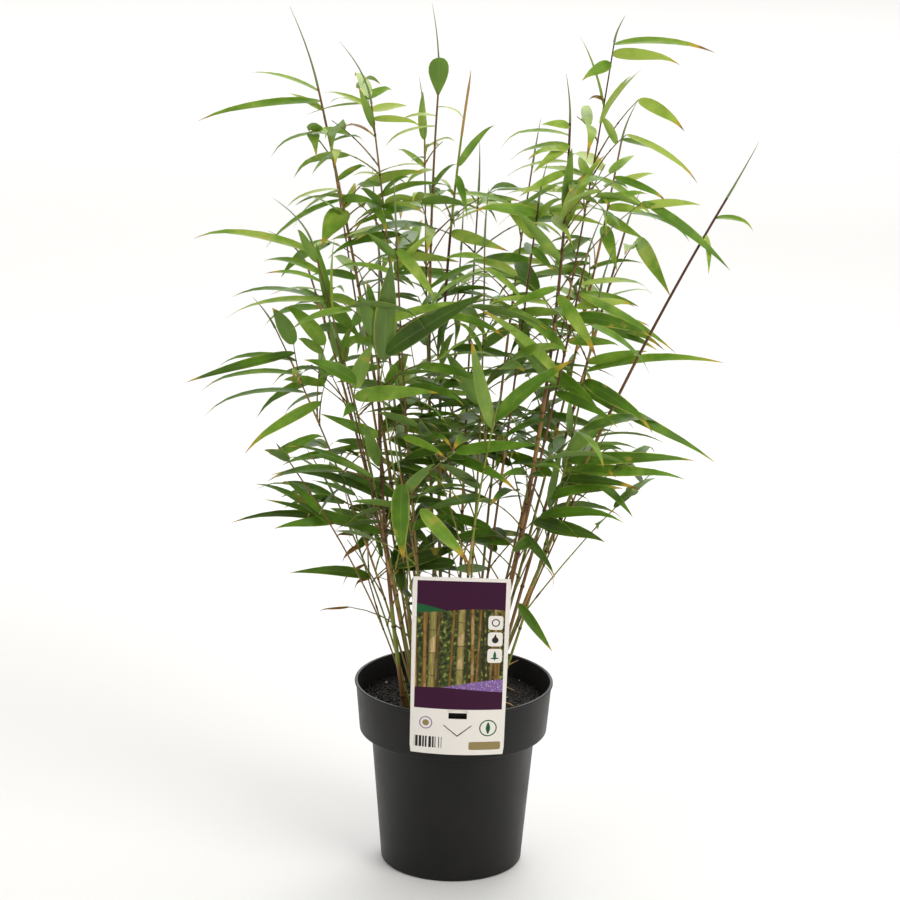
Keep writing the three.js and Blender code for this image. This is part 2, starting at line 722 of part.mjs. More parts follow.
// Whether a point lies in the crown that the sprays grown by rule keep to.
function insideCrown({ x, y, z }) {
  const rising = CROWN.footRadius + (z - CROWN.floor) * CROWN.opening;
  const narrowing = CROWN.girdle - Math.max(0, z - CROWN.shoulder) * CROWN.taper;
  if (Math.hypot(x, y * CROWN_DEPTH) > (z < CROWN.flare ? rising : narrowing)) return false;
  const beyondCleft = Math.max(0, Math.abs(x - CLEFT.middle) - CLEFT.halfWidth);
  if (z > CLEFT.floor + CLEFT.slope * beyondCleft) return false;
  const overCard = y < CARD_CLEARING.front && Math.abs(x - CARD_CLEARING.middle) < CARD_CLEARING.half;
  if (overCard && z < CARD_CLEARING.top) return false;
  return z > CROWN.floor && y > CROWN_FRONT;
}

// Turned about the root by a try: across about the vertical, up about the level direction.
function turnedTip(root, tip, across, up) {
  const chord = tip.clone().sub(root);
  const level = frameOf(chord.clone().normalize(), 0).side;
  return chord.applyAxisAngle(level, up).applyAxisAngle(UP, across).add(root);
}

function findLeaf(number, spray, root, tip, width, roll, within) {
  const droop = droopOf(root, tip, draw(number, spray, Math.round(width * WIDTH_KEY)));
  for (const [across, up] of TRIES) {
    const leaf = makeLeaf(root, turnedTip(root, tip, across * LEAF_TRY, up * LEAF_TRY), width, roll, droop);
    if (within && !within(leaf.tip)) continue;
    if (isClear(leafSolid(leaf, CLEARANCE), number, spray)) return leaf;
  }
  return null;
}

// Keeps a spray's pieces: the leaf at the end of its twig is one with it unless they meet at a sharp bend.
function keepSpray(number, spray, twig, leaves) {
  const [first] = leaves;
  const rest = leaves.slice(1);
  if (twig) {
    const run = twig.end.clone().sub(twig.on(0.5)).normalize();
    const straight = first && run.dot(first.along) > SHARP_BEND;
    keep(number, spray, straight ? leafyTwigSolid(twig, first) : loft(twigRings(twig, 0)));
    if (!straight && first) rest.push(first);
  } else if (first) {
    rest.push(first);
  }
  for (const leaf of rest) {
    if (leaf) keep(number, spray, leafSolid(leaf, 0));
  }
}

function droopOf(root, tip, luck) {
  const chord = tip.clone().sub(root).normalize();
  return LEAF_DROOP.least + LEAF_DROOP.level * Math.hypot(chord.x, chord.y) * (0.5 + luck);
}

// A traced spray: its twig, where it has one, and its leaves.
function growTracedSpray(cane, spray, [height, spread, tips]) {
  let twig = null;
  let place = (index) => onCane(cane, caneAt(cane, height - index * LEAF_STEP));
  if (spread) {
    for (const [across, up] of TRIES) {
      if (across !== 0) continue;
      const from = caneAt(cane, height + up * TWIG_TRY.height);
      const end = vector(...spread);
      const candidate = makeTwig(onCane(cane, from), caneDirection(cane, from), end, TWIG_RADIUS);
      if (!isClear(loft(twigRings(candidate, CLEARANCE)), cane.number, spray)) continue;
      twig = candidate;
      break;
    }
    if (!twig) return;
    place = (index) => twig.on(1 - (index * LEAF_STEP) / twig.length);
  }
  const leaves = tips.map(([x, y, z, width, roll], index) =>
    findLeaf(cane.number, spray, place(index), vector(x, y, z), width, THREE.MathUtils.degToRad(roll)),
  );
  keepSpray(cane.number, spray, twig, leaves);
}

// A spray grown by rule: a twig that rises outwards and a small fan of leaves at its end.
function growRuledSpray(cane, spray, share) {
  const luck = (key) => draw(cane.number, spray, key);
  const from = LEAFY_FROM + (LEAFY_TO - LEAFY_FROM) * share;
  const start = onCane(cane, from);
  const turn = GOLDEN_TURN * (spray + cane.number * 3) + luck(11);
  const fullLength = TWIG_LENGTH.least + TWIG_LENGTH.spread * luck(12);
  const length = fullLength * (TWIG_LENGTH.low - TWIG_LENGTH.lessUp * share);
  const rise = TWIG_RISE.least + TWIG_RISE.spread * luck(13);
  let twig = null;
  let heading = 0;
  for (const [across, up] of TRIES) {
    heading = turn + across * TWIG_TRY.turn;
    const lift = rise + up * TWIG_TRY.rise;
    const reach = bearingOf(heading, lift);
    const end = start.clone().addScaledVector(reach, length);
    if (!insideCrown(end.clone().addScaledVector(reach, TWIG_MARGIN))) continue;
    const candidate = makeTwig(start, caneDirection(cane, from), end, TWIG_RADIUS * 0.9);
    if (!isClear(loft(twigRings(candidate, CLEARANCE)), cane.number, spray)) continue;
    twig = candidate;
    break;
  }
  if (!twig) return;
  const count = luck(14) < FOUR_LEAVES ? 4 : 3;
  const leaves = LEAF_FAN.slice(0, count).map((fan, index) => {
    const own = (key) => draw(cane.number, spray, index, key);
    const root = twig.on(1 - (index * LEAF_STEP) / twig.length);
    const bearing = heading + fan + (own(21) - 0.5) * LEAF_BEARING;
    const lift = LEAF_RISE.most - LEAF_RISE.spread * own(22);
    const span = (index === 0 ? LEAF_SPAN.first : LEAF_SPAN.others) + LEAF_SPAN.spread * own(23);
    const tip = root.clone().addScaledVector(bearingOf(bearing, lift), span);
    const width = LEAF_WIDTH.base + span * (LEAF_WIDTH.least + LEAF_WIDTH.spread * own(24));
    return findLeaf(cane.number, spray, root, tip, width, (own(25) - 0.5) * LEAF_ROLL, insideCrown);
  });
  keepSpray(cane.number, spray, twig, leaves);
}

function placeCane(cane, number) {
  cane.number = number;
  for (const [across, up] of TRIES) {
    cane.foot = vector(...cane.root, SOIL_HEIGHT - PLANTING_DEPTH);
    cane.bend = vector(cane.knee[0] + across * CANE_TRY, cane.knee[1] + up * CANE_TRY, cane.knee[2]);
    cane.end = vector(...cane.top);
    if (isClear(caneSolid(cane, CLEARANCE), number, 0)) break;
  }
  keep(number, 0, caneSolid(cane, 0));
}

// The card: a thin sheet, flat at its head and bowed round the collar at its foot, with a window, a
// V-shaped slit and a strip folded back over the rim behind it.
function makeCard() {
  const rows = [CARD_BOTTOM, (CARD_BOTTOM + CARD_TOP) / 2, CARD_TOP];
  const cardPoint = (across, height, depth) => {
    const bow = CARD_BOW * (1 - (height - CARD_BOTTOM) / (CARD_TOP - CARD_BOTTOM));
    const back = bow * Math.pow((2 * across) / CARD_WIDTH, 2);
    return vector(across, -CARD_FRONT + back + depth, height);
  };
  const rings = rows.map((height) => {
    const front = [];
    const rear = [];
    for (let column = 0; column <= CARD_COLUMNS; column += 1) {
      const across = (column / CARD_COLUMNS - 0.5) * CARD_WIDTH;
      front.push(cardPoint(across, height, 0));
      rear.unshift(cardPoint(across, height, CARD_THICKNESS));
    }
    return [...front, ...rear];
  });
  let card = loftStrip(rings);
  const window = new THREE.BoxGeometry(WINDOW.width, CUTTER_DEPTH, WINDOW.height);
  window.translate(0, -CARD_FRONT, WINDOW.bottom + WINDOW.height / 2);
  const half = SLIT.width / 2;
  const slit = new THREE.Shape();
  slit.moveTo(-half, SLIT.top);
  slit.lineTo(0, SLIT.top - SLIT.depth - SLIT.gap);
  slit.lineTo(half, SLIT.top);
  slit.lineTo(half - SLIT.gap, SLIT.top);
  slit.lineTo(0, SLIT.top - SLIT.depth);
  slit.lineTo(SLIT.gap - half, SLIT.top);
  slit.closePath();
  const slitCut = new THREE.ExtrudeGeometry(slit, { depth: CUTTER_DEPTH, bevelEnabled: false });
  slitCut.rotateX(Math.PI / 2).translate(0, CUTTER_DEPTH / 2 - CARD_FRONT, 0);
  card = card.subtract(solidOf(window)).subtract(solidOf(slitCut));
  const [, , [ledgeRadius, ledgeHeight]] = innerProfile;
  const rimY = -Math.sqrt(RIM_RADIUS ** 2 - (TONGUE.width / 2) ** 2);
  const reach = TONGUE.width / 2 + CARD_MIDDLE + POT_HEIGHT * Math.sin(CARD_LEAN);
  const insideY = (height) => {
    const slope = (height - ledgeHeight) / (POT_HEIGHT - ledgeHeight);
    const radius = ledgeRadius + (collarTopRadius - WALL - ledgeRadius) * slope;
    return -Math.sqrt((radius * Math.cos(Math.PI / ROUND_SIDES) - GAP) ** 2 - reach ** 2);
  };
  const overRim = POT_HEIGHT + GAP;
  const tongueFoot = overRim - TONGUE.drop;
  const fold = new THREE.Shape();
  const headZ = WINDOW.bottom + WINDOW.height;
  const sheetY = -CARD_FRONT + CARD_THICKNESS / 2;
  fold.moveTo(sheetY, headZ + TONGUE.root);
  fold.lineTo(sheetY, headZ);
  fold.lineTo(rimY - CARD_THICKNESS, overRim);
  fold.lineTo(insideY(overRim), overRim);
  fold.lineTo(insideY(tongueFoot), tongueFoot);
  fold.lineTo(insideY(tongueFoot) + CARD_THICKNESS, tongueFoot);
  fold.lineTo(insideY(overRim) + CARD_THICKNESS, overRim + CARD_THICKNESS);
  fold.lineTo(rimY, overRim + CARD_THICKNESS);
  fold.lineTo(sheetY + CARD_THICKNESS, headZ + TONGUE.root);
  fold.closePath();
  const tongue = new THREE.ExtrudeGeometry(fold, { depth: TONGUE.width, bevelEnabled: false });
  tongue.translate(0, 0, -TONGUE.width / 2).rotateX(Math.PI / 2).rotateZ(Math.PI / 2);
  return card.add(solidOf(tongue));
}

// A strip skinned over long thin rings, whose end caps are split straight across.
function loftStrip(rings) {
  const sides = rings[0].length;
  const faces = [];
  const cap = (start, flip) => {
    for (let i = 0; i < sides / 2 - 1; i += 1) {
      const [a, b, c, d] = [i, i + 1, sides - 2 - i, sides - 1 - i].map((k) => start + k);
      faces.push(...(flip ? [a, c, b, a, d, c] : [a, b, c, a, c, d]));
    }
  };
  cap(0, true);
  for (let ring = 0; ring + 1 < rings.length; ring += 1) {
    for (let side = 0; side < sides; side += 1) {
      const here = ring * sides + side;
      const beside = ring * sides + ((side + 1) % sides);
      faces.push(here, beside, beside + sides, here, beside + sides, here + sides);
    }
  }
  cap((rings.length - 1) * sides, false);
  const geometry = new THREE.BufferGeometry().setFromPoints(rings.flat());
  geometry.setIndex(faces);
  return solidOf(geometry);
}

// The soil: it fills the pot's inside a gap away from the wall, with a crumbly uneven top.
function makeSoil() {
  const [base, body, ledge, mouth] = innerProfile;
  const slope = (mouth[0] - ledge[0]) / (mouth[1] - ledge[1]);
  const edge = ledge[0] - GAP + slope * (SOIL_HEIGHT - ledge[1]);
  const profile = [
    [0, base[1] + GAP],
    [base[0] - GAP, base[1] + GAP],
    [body[0] - GAP, body[1] + GAP],
    [ledge[0] - GAP, ledge[1] + GAP],
    [edge, SOIL_HEIGHT - SOIL_EDGE_DROP],
    ...SOIL_RINGS.toReversed().map((radius) => [radius, SOIL_HEIGHT]),
    [0, SOIL_HEIGHT],
  ];
  const geometry = turned(profile);
  const position = geometry.attributes.position;
  for (let i = 0; i < position.count; i += 1) {
    const [x, y, z] = [position.getX(i), position.getY(i), position.getZ(i)];
    if (z < SOIL_HEIGHT - 1) continue;
    const wave = (along, length) => Math.sin((2 * Math.PI * along) / length);
    const lump = wave(x, SOIL_WAVES[0]) * wave(y, SOIL_WAVES[1]) + wave(x - y, SOIL_WAVES[2]) / 2;
    position.setZ(i, SOIL_HEIGHT + SOIL_RELIEF * lump);
  }
  let soil = solidOf(geometry);
  for (const cane of CANES) soil = soil.subtract(caneHole(cane));
  return soil;
}

const potPlastic = new THREE.MeshStandardMaterial({ color: 0x2b2b2d, roughness: 0.45, metalness: 0 });
const soilCrumb = new THREE.MeshStandardMaterial({ color: 0x1e1813, roughness: 1, metalness: 0 });
const cardPrint = new THREE.MeshStandardMaterial({ color: 0xece6dc, roughness: 0.4, metalness: 0 });
const leafGreen = new THREE.MeshStandardMaterial({ color: 0x4d7a2c, roughness: 0.55, metalness: 0 });

const plant = new THREE.Group();
const pot = makePot();
keep(-1, -1, pot);
plant.add(meshOf("pot", pot, potPlastic));

const card = makeCard();
const cardMesh = meshOf("plant_card", card, cardPrint);
cardMesh.position.x = CARD_MIDDLE;
cardMesh.rotation.y = CARD_LEAN;
plant.add(cardMesh);
cardMesh.updateMatrixWorld(true);
keep(-2, -2, solidOf(cardMesh.geometry.clone().applyMatrix4(cardMesh.matrixWorld)));

CANES.forEach(placeCane);
plant.add(meshOf("soil", makeSoil(), soilCrumb));

let spray = 0;
CANES.forEach((cane) => {
  for (const traced of cane.sprays) {
    spray += 1;
    growTracedSpray(cane, spray, traced);
  }
});
const most = Math.max(...CANES.map((cane) => cane.more));
for (let turn = 0; turn < most; turn += 1) {
  for (const cane of CANES) {
    spray += 1;
    if (turn < cane.more) growRuledSpray(cane, spray, (turn + 0.5) / cane.more);
  }
}

CANES.forEach((cane, number) => {
  const pieces = grown.filter((piece) => piece.cane === number).map((piece) => piece.solid);
  const name = "cane_" + String(number + 1).padStart(2, "0");
  plant.add(meshOf(name, wasm.Manifold.union(pieces).simplify(SLIVER), leafGreen));
});

export default plant;
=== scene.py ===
"""A potted pingwu bamboo: slender leafy canes growing from dark soil in a round black nursery pot, with a
printed plant card hooked over the rim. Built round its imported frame, in metres, with +Z up and the card
towards -Y."""

import math

import bpy
import numpy as np
from mathutils import Matrix, Vector, noise
from mathutils.kdtree import KDTree


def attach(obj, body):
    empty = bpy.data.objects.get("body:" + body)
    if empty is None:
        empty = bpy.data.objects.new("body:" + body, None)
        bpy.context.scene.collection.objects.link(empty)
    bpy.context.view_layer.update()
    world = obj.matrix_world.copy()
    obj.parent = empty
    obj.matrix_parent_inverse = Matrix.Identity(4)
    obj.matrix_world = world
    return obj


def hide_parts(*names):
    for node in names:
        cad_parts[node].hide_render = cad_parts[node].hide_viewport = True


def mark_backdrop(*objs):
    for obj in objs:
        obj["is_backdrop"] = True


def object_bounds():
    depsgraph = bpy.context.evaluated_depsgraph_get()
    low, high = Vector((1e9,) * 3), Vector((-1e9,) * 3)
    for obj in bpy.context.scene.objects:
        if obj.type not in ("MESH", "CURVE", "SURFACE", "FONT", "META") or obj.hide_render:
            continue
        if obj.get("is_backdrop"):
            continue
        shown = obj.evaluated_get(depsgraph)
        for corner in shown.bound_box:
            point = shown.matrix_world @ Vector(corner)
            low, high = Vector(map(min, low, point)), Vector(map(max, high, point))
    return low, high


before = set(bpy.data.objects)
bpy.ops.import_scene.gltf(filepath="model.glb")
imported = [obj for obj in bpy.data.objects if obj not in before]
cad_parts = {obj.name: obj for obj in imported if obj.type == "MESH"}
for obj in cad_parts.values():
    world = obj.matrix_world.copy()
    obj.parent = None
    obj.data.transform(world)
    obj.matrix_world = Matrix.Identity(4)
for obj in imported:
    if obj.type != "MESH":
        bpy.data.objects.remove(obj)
cad_low, cad_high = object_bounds()
MM = 0.001

# Camera. The photograph was taken from the front, a little above the pot's rim and with a long lens.
# Its frame is tipped by a degree, so the picture's right side hangs lower.
CAMERA_PLACE = (-0.00782, -2.8565, 1.21585)
CAMERA_PITCH = math.radians(15.389)
CAMERA_ROLL = math.radians(0.972)
CAMERA_LENS = 120

camera_data = bpy.data.cameras.new("camera")
camera_data.lens = CAMERA_LENS
camera_data.sensor_width = 36
camera = bpy.data.objects.new("camera", camera_data)
bpy.context.scene.collection.objects.link(camera)
looking = Vector((0, math.cos(CAMERA_PITCH), -math.sin(CAMERA_PITCH)))
level_right = Vector((1, 0, 0))
level_up = level_right.cross(looking)
camera_right = level_right * math.cos(CAMERA_ROLL) + level_up * math.sin(CAMERA_ROLL)
camera_up = level_up * math.cos(CAMERA_ROLL) - level_right * math.sin(CAMERA_ROLL)
camera_axes = Matrix((camera_right, camera_up, -looking)).transposed()
camera.matrix_world = Matrix.Translation(CAMERA_PLACE) @ camera_axes.to_4x4()
bpy.context.scene.camera = camera

# Pot. An injection-moulded polypropylene nursery pot, turned from one profile: a tapering body, a deeper
# collar with a rolled-in lower edge, a thin lip, and a floor with drain holes.
RIM_RADIUS = 100
POT_HEIGHT = 190
LIP_HEIGHT = 2.6
COLLAR_TOP_RADIUS = 98.6
COLLAR_FOOT_RADIUS = 94.6
COLLAR_FOOT_HEIGHT = 138
BODY_TOP_RADIUS = 83
BASE_RADIUS = 71.6
POT_WALL = 1.8
POT_FLOOR = 3
POT_SIDES = 128
DRAIN_HOLES = 6
DRAIN_RADIUS = 6
DRAIN_CIRCLE = 46
DRILL_SIDES = 24
DRILL_SPAN = (-4, 8)
POT_SHARP_TURN = 34


def arc(centre, radius, start, end, steps):
    """Points of a profile round an arc, with angles in degrees from the radius direction."""
    angles = np.radians(np.linspace(start, end, steps))
    return [(centre[0] + radius * math.cos(a), centre[1] + radius * math.sin(a)) for a in angles]


def link(name, mesh):
    """A mesh as an object in the scene."""
    piece = bpy.data.objects.new(name, mesh)
    bpy.context.scene.collection.objects.link(piece)
    return piece


def mesh_from(name, points, faces):
    """A mesh from points in metres and the faces between them."""
    mesh = bpy.data.meshes.new(name)
    mesh.from_pydata(points, [], faces)
    mesh.validate()
    return mesh


def turn_profile(name, profile, sides):
    """A closed solid of revolution from a profile in millimetres that starts and ends on the axis."""
    rings = profile[1:-1]
    points = [(0, 0, profile[0][1] * MM), (0, 0, profile[-1][1] * MM)]
    for radius, height in rings:
        for side in range(sides):
            turn = 2 * math.pi * side / sides
            points.append((radius * MM * math.cos(turn), radius * MM * math.sin(turn), height * MM))
    faces = []
    for side in range(sides):
        here, beside = 2 + side, 2 + (side + 1) % sides
        faces.append((0, beside, here))
        for ring in range(len(rings) - 1):
            low, high = ring * sides, (ring + 1) * sides
            faces.append((here + low, beside + low, beside + high, here + high))
        top = (len(rings) - 1) * sides
        faces.append((1, here + top, beside + top))
    return mesh_from(name, points, faces)


def add_prism(points, faces, low, high):
    """Adds the prism between two rings of points in millimetres to the points and faces of a mesh."""
    first, count = len(points), len(low)
    points.extend(tuple(c * MM for c in point) for point in low + high)
    for side in range(count):
        here, beside = first + side, first + (side + 1) % count
        faces.append((here, beside, beside + count, here + count))
    faces.append(tuple(first + side for side in reversed(range(count))))
    faces.append(tuple(first + count + side for side in range(count)))


def cut_away(piece, cutter):
    """Lets a cutter take its volume from a piece, once the piece's modifiers are applied."""
    cutting = piece.modifiers.new(cutter.name, "BOOLEAN")
    cutting.operation = "DIFFERENCE"
    cutting.object = cutter
    cutting.solver = "EXACT"


def bake_modifiers(piece, name):
    """A piece with its modifiers applied, as a plain mesh object."""
    mesh = bpy.data.meshes.new_from_object(piece.evaluated_get(bpy.context.evaluated_depsgraph_get()))
    finished = link(name, mesh)
    bpy.data.objects.remove(piece)
    return finished


shelf = COLLAR_FOOT_HEIGHT + 2.4
collar_top = POT_HEIGHT - LIP_HEIGHT
outside = [
    (0, 1.2),
    (BASE_RADIUS - 9, 1.2),
    (BASE_RADIUS - 7.5, 0),
    *arc((BASE_RADIUS - 2.8, 2.8), 2.8, -90, -4, 5),
    (BASE_RADIUS + 0.3, 8),
    (BODY_TOP_RADIUS - 0.4, COLLAR_FOOT_HEIGHT - 2),
    (BODY_TOP_RADIUS + 0.6, COLLAR_FOOT_HEIGHT),
    *arc((COLLAR_FOOT_RADIUS - 2.2, COLLAR_FOOT_HEIGHT + 2.2), 2.2, -90, -2, 6),
    (COLLAR_TOP_RADIUS - 0.2, collar_top - 3),
    (COLLAR_TOP_RADIUS, collar_top - 0.4),
    *arc((RIM_RADIUS - 1, collar_top + 1), 1, -60, 0, 4),
    *arc((RIM_RADIUS - 1.1, POT_HEIGHT - 1.1), 1.1, 0, 90, 5),
]
inside = [
    *arc((COLLAR_TOP_RADIUS - POT_WALL + 1, POT_HEIGHT - 1), 1, 90, 180, 4),
    (COLLAR_FOOT_RADIUS - POT_WALL, shelf + POT_WALL + 1),
    (COLLAR_FOOT_RADIUS - POT_WALL - 1, shelf + POT_WALL),
    (BODY_TOP_RADIUS - POT_WALL, shelf),
    (BASE_RADIUS - POT_WALL, POT_FLOOR + 2),
    (BASE_RADIUS - POT_WALL - 2, POT_FLOOR),
    (0, POT_FLOOR),
]
pot_blank = link("pot_blank", turn_profile("pot_blank", outside + inside, POT_SIDES))

drill_points, drill_faces = [], []
for hole in range(DRAIN_HOLES):
    place = 2 * math.pi * (hole + 0.5) / DRAIN_HOLES
    ring = []
    for side in range(DRILL_SIDES):
        turn = 2 * math.pi * side / DRILL_SIDES
        x = DRAIN_CIRCLE * math.cos(place) + DRAIN_RADIUS * math.cos(turn)
        y = DRAIN_CIRCLE * math.sin(place) + DRAIN_RADIUS * math.sin(turn)
        ring.append((x, y))
    low, high = ([(x, y, height) for x, y in ring] for height in DRILL_SPAN)
    add_prism(drill_points, drill_faces, low, high)
drill = link("drill", mesh_from("drill", drill_points, drill_faces))
cut_away(pot_blank, drill)
pot = bake_modifiers(pot_blank, "pot")
bpy.data.objects.remove(drill)
pot.data.shade_smooth()
pot.data.set_sharp_from_angle(angle=math.radians(POT_SHARP_TURN))


def linear(hex_colour):
    """An sRGB hex colour as the linear values that a shader works with."""
    channels = [int(hex_colour[i : i + 2], 16) / 255 for i in (1, 3, 5)]
    return tuple(c / 12.92 if c < 0.04045 else ((c + 0.055) / 1.055) ** 2.4 for c in channels) + (1,)


def add(tree, kind, sockets=None, **settings):
    """Adds a node with its settings. Each of its sockets, by name or number, gets a value, a colour by its
    hex code, or a link from another socket or from the first output that another node has in use."""
    made = tree.nodes.new(kind)
    for name, value in settings.items():
        setattr(made, name, value)
    for name, value in (sockets or {}).items():
        if isinstance(value, bpy.types.Node):
            value = next(output for output in value.outputs if output.enabled)
        if isinstance(value, bpy.types.NodeSocket):
            tree.links.new(value, made.inputs[name])
        elif isinstance(value, str) and value.startswith("#"):
            made.inputs[name].default_value = linear(value)
        else:
            made.inputs[name].default_value = value
    return made


def with_stops(ramp, *stops):
    """A colour ramp, once it has its stops, each a place on it and a colour."""
    elements = ramp.color_ramp.elements
    elements[0].position, elements[1].position = stops[0][0], stops[-1][0]
    elements[0].color, elements[1].color = linear(stops[0][1]), linear(stops[-1][1])
    for position, colour in stops[1:-1]:
        elements.new(position).color = linear(colour)
    return ramp


def new_material(name):
    """An empty node material, its tree, and the place on the piece in metres."""
    material = bpy.data.materials.new(name)
    material.use_nodes = True
    tree = material.node_tree
    tree.nodes.clear()
    return material, tree, add(tree, "ShaderNodeTexCoord").outputs["Object"]


# Black polypropylene, moulded with a fine satin texture: a soft grey sheen, a little dust, and faint flow
# unevenness that the light picks up.
PLASTIC_BLACK = "#171717"
PLASTIC_DUSTY = "#24221f"
pot_plastic, tree, place = new_material("moulded black polypropylene")
dust = add(tree, "ShaderNodeTexNoise", {"Vector": place, "Scale": 22, "Detail": 5, "Roughness": 0.62})
blend = add(tree, "ShaderNodeMapRange", {0: dust, 1: 0.42, 2: 0.78, 3: 0.0, 4: 0.55})
tint = add(tree, "ShaderNodeMix", {0: blend, 6: PLASTIC_BLACK, 7: PLASTIC_DUSTY}, data_type="RGBA")
facing = add(tree, "ShaderNodeTexNoise", {"Vector": place, "Scale": 900, "Detail": 2})
facing = add(tree, "ShaderNodeBump", {"Height": facing, "Strength": 0.12, "Distance": 0.0004})
surface = add(
    tree,
    "ShaderNodeBsdfPrincipled",
    {
        "Base Color": tint,
        "Roughness": add(tree, "ShaderNodeMapRange", {0: dust, 1: 0.3, 2: 0.7, 3: 0.36, 4: 0.5}),
        "Specular IOR Level": 0.22,
        "Normal": facing,
        "IOR": 1.49,
    },
)
add(tree, "ShaderNodeOutputMaterial", {"Surface": surface})
pot.data.materials.append(pot_plastic)
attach(pot, "root")
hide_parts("pot")

# Soil. Moist peat and composted bark that fills the pot to a finger's width below the rim. Its top is a
# lumpy crust of crumbs and bark bits, with a few white grains of perlite.
SOIL_HEIGHT = 168
SOIL_EDGE_RADIUS = 94.2
SOIL_SIDES = 96
SOIL_RINGS = 34
SOIL_LUMP = 2.6
SOIL_SEED = 11


def soil_height(x, y):
    """The height of the soil's top at a place, all in millimetres."""
    broad = noise.noise(Vector((x / 26, y / 26, 4.1)))
    fine = noise.noise(Vector((x / 8, y / 8, 9.7)))
    return SOIL_HEIGHT - 1 + SOIL_LUMP * (0.7 * broad + 0.35 * fine)


soil_profile = [
    (0, POT_FLOOR + 0.4),
    (BASE_RADIUS - POT_WALL - 2.4, POT_FLOOR + 0.4),
    (BODY_TOP_RADIUS - POT_WALL - 0.6, shelf),
    (COLLAR_FOOT_RADIUS - POT_WALL - 1, shelf + POT_WALL + 1.6),
    *[
        (SOIL_EDGE_RADIUS * (1 - (ring / SOIL_RINGS) ** 1.15), SOIL_HEIGHT)
        for ring in range(SOIL_RINGS)
    ],
    (0, SOIL_HEIGHT),
]
soil_mesh = turn_profile("soil_mass", soil_profile, SOIL_SIDES)
for vertex in soil_mesh.vertices:
    if vertex.co.z > (SOIL_HEIGHT - 1) * MM:
        vertex.co.z = soil_height(vertex.co.x / MM, vertex.co.y / MM) * MM
soil_mass = link("soil_mass", soil_mesh)
soil_mesh.shade_smooth()

# Crumbed peat: almost black where moist, dark brown where it has dried, dull all over.
peat, tree, place = new_material("moist peat crumb")
crumbled = add(tree, "ShaderNodeTexNoise", {"Vector": place, "Scale": 260, "Detail": 4, "Roughness": 0.7})
peat_colour = with_stops(
    add(tree, "ShaderNodeValToRGB", {0: crumbled}), (0.36, "#060504"), (0.72, "#1d150f")
)
peat_bumps = add(tree, "ShaderNodeBump", {"Height": crumbled, "Strength": 0.7, "Distance": 0.001})
surface = add(
    tree, "ShaderNodeBsdfPrincipled", {"Base Color": peat_colour, "Roughness": 0.93, "Normal": peat_bumps}
)
add(tree, "ShaderNodeOutputMaterial", {"Surface": surface})
soil_mesh.materials.append(peat)

# Composted bark, split and fibrous, in warm browns.
bark, tree, place = new_material("composted bark")
bark_colour = add(tree, "ShaderNodeTexNoise", {"Vector": place, "Scale": 420, "Detail": 3})
bark_colour = with_stops(
    add(tree, "ShaderNodeValToRGB", {0: bark_colour}), (0.3, "#1a110a"), (0.75, "#523824")
)
surface = add(tree, "ShaderNodeBsdfPrincipled", {"Base Color": bark_colour, "Roughness": 0.85})
add(tree, "ShaderNodeOutputMaterial", {"Surface": surface})

# Expanded perlite, a foamed volcanic glass: chalk-white grains with soil dust on them.
perlite, tree, place = new_material("perlite grain")
perlite_colour = add(tree, "ShaderNodeTexNoise", {"Vector": place, "Scale": 600, "Detail": 2})
perlite_colour = with_stops(
    add(tree, "ShaderNodeValToRGB", {0: perlite_colour}), (0.4, "#7d7468"), (0.62, "#dcd8cf")
)
surface = add(tree, "ShaderNodeBsdfPrincipled", {"Base Color": perlite_colour, "Roughness": 0.8})
add(tree, "ShaderNodeOutputMaterial", {"Surface": surface})


def new_tree(name, inputs):
    """An empty geometry tree with a geometry output and the named inputs."""
    made = bpy.data.node_groups.new(name, "GeometryNodeTree")
    made.interface.new_socket("Geometry", in_out="INPUT", socket_type="NodeSocketGeometry")
    for socket_name, kind in inputs.items():
        made.interface.new_socket(socket_name, in_out="INPUT", socket_type="NodeSocket" + kind)
    made.interface.new_socket("Geometry", in_out="OUTPUT", socket_type="NodeSocketGeometry")
    return made


def run_tree(name, mesh, tree, inputs):
    """Runs a geometry tree on a mesh and gives the result as a plain mesh object."""
    holder = link(name + "_source", mesh)
    modifier = holder.modifiers.new("grow", "NODES")
    modifier.node_group = tree
    for item in tree.interface.items_tree:
        if item.in_out == "INPUT" and item.name in inputs:
            modifier[item.identifier] = inputs[item.name]
    return bake_modifiers(holder, name)


# Scattered bits: points on the upward faces of the soil, each with a turned and scaled copy of one
# irregular grain.
scatter = new_tree(
    "scattered grains",
    {"Density": "Float", "Size": "Float", "Flatness": "Float", "Seed": "Int", "Material": "Material"},
)
given = add(scatter, "NodeGroupInput").outputs
upward = add(scatter, "ShaderNodeSeparateXYZ", {0: add(scatter, "GeometryNodeInputNormal")}).outputs[2]
on_top = add(scatter, "FunctionNodeCompare", {0: upward, 1: 0.6}, operation="GREATER_THAN")
spread = add(
    scatter,
    "GeometryNodeDistributePointsOnFaces",
    {"Mesh": given["Geometry"], "Selection": on_top, "Density": given["Density"], "Seed": given["Seed"]},
)
grain_ball = add(scatter, "GeometryNodeMeshIcoSphere", {"Radius": 0.5, "Subdivisions": 1})
rough_place = add(scatter, "ShaderNodeTexNoise", {"Scale": 2.1, "Detail": 1}).outputs["Color"]
rough_offset = add(
    scatter, "ShaderNodeVectorMath", {0: rough_place, 1: (0.5, 0.5, 0.5)}, operation="SUBTRACT"
)
rough_grain = add(scatter, "GeometryNodeSetPosition", {"Geometry": grain_ball, "Offset": rough_offset})
any_turn = add(
    scatter,
    "FunctionNodeRandomValue",
    {"Min": (0, 0, 0), "Max": (6.28, 6.28, 6.28), "Seed": given["Seed"]},
    data_type="FLOAT_VECTOR",
)
sockets = {2: 0.35, 3: 1.0, "Seed": given["Seed"]}
grain_size = add(scatter, "FunctionNodeRandomValue", sockets, data_type="FLOAT")
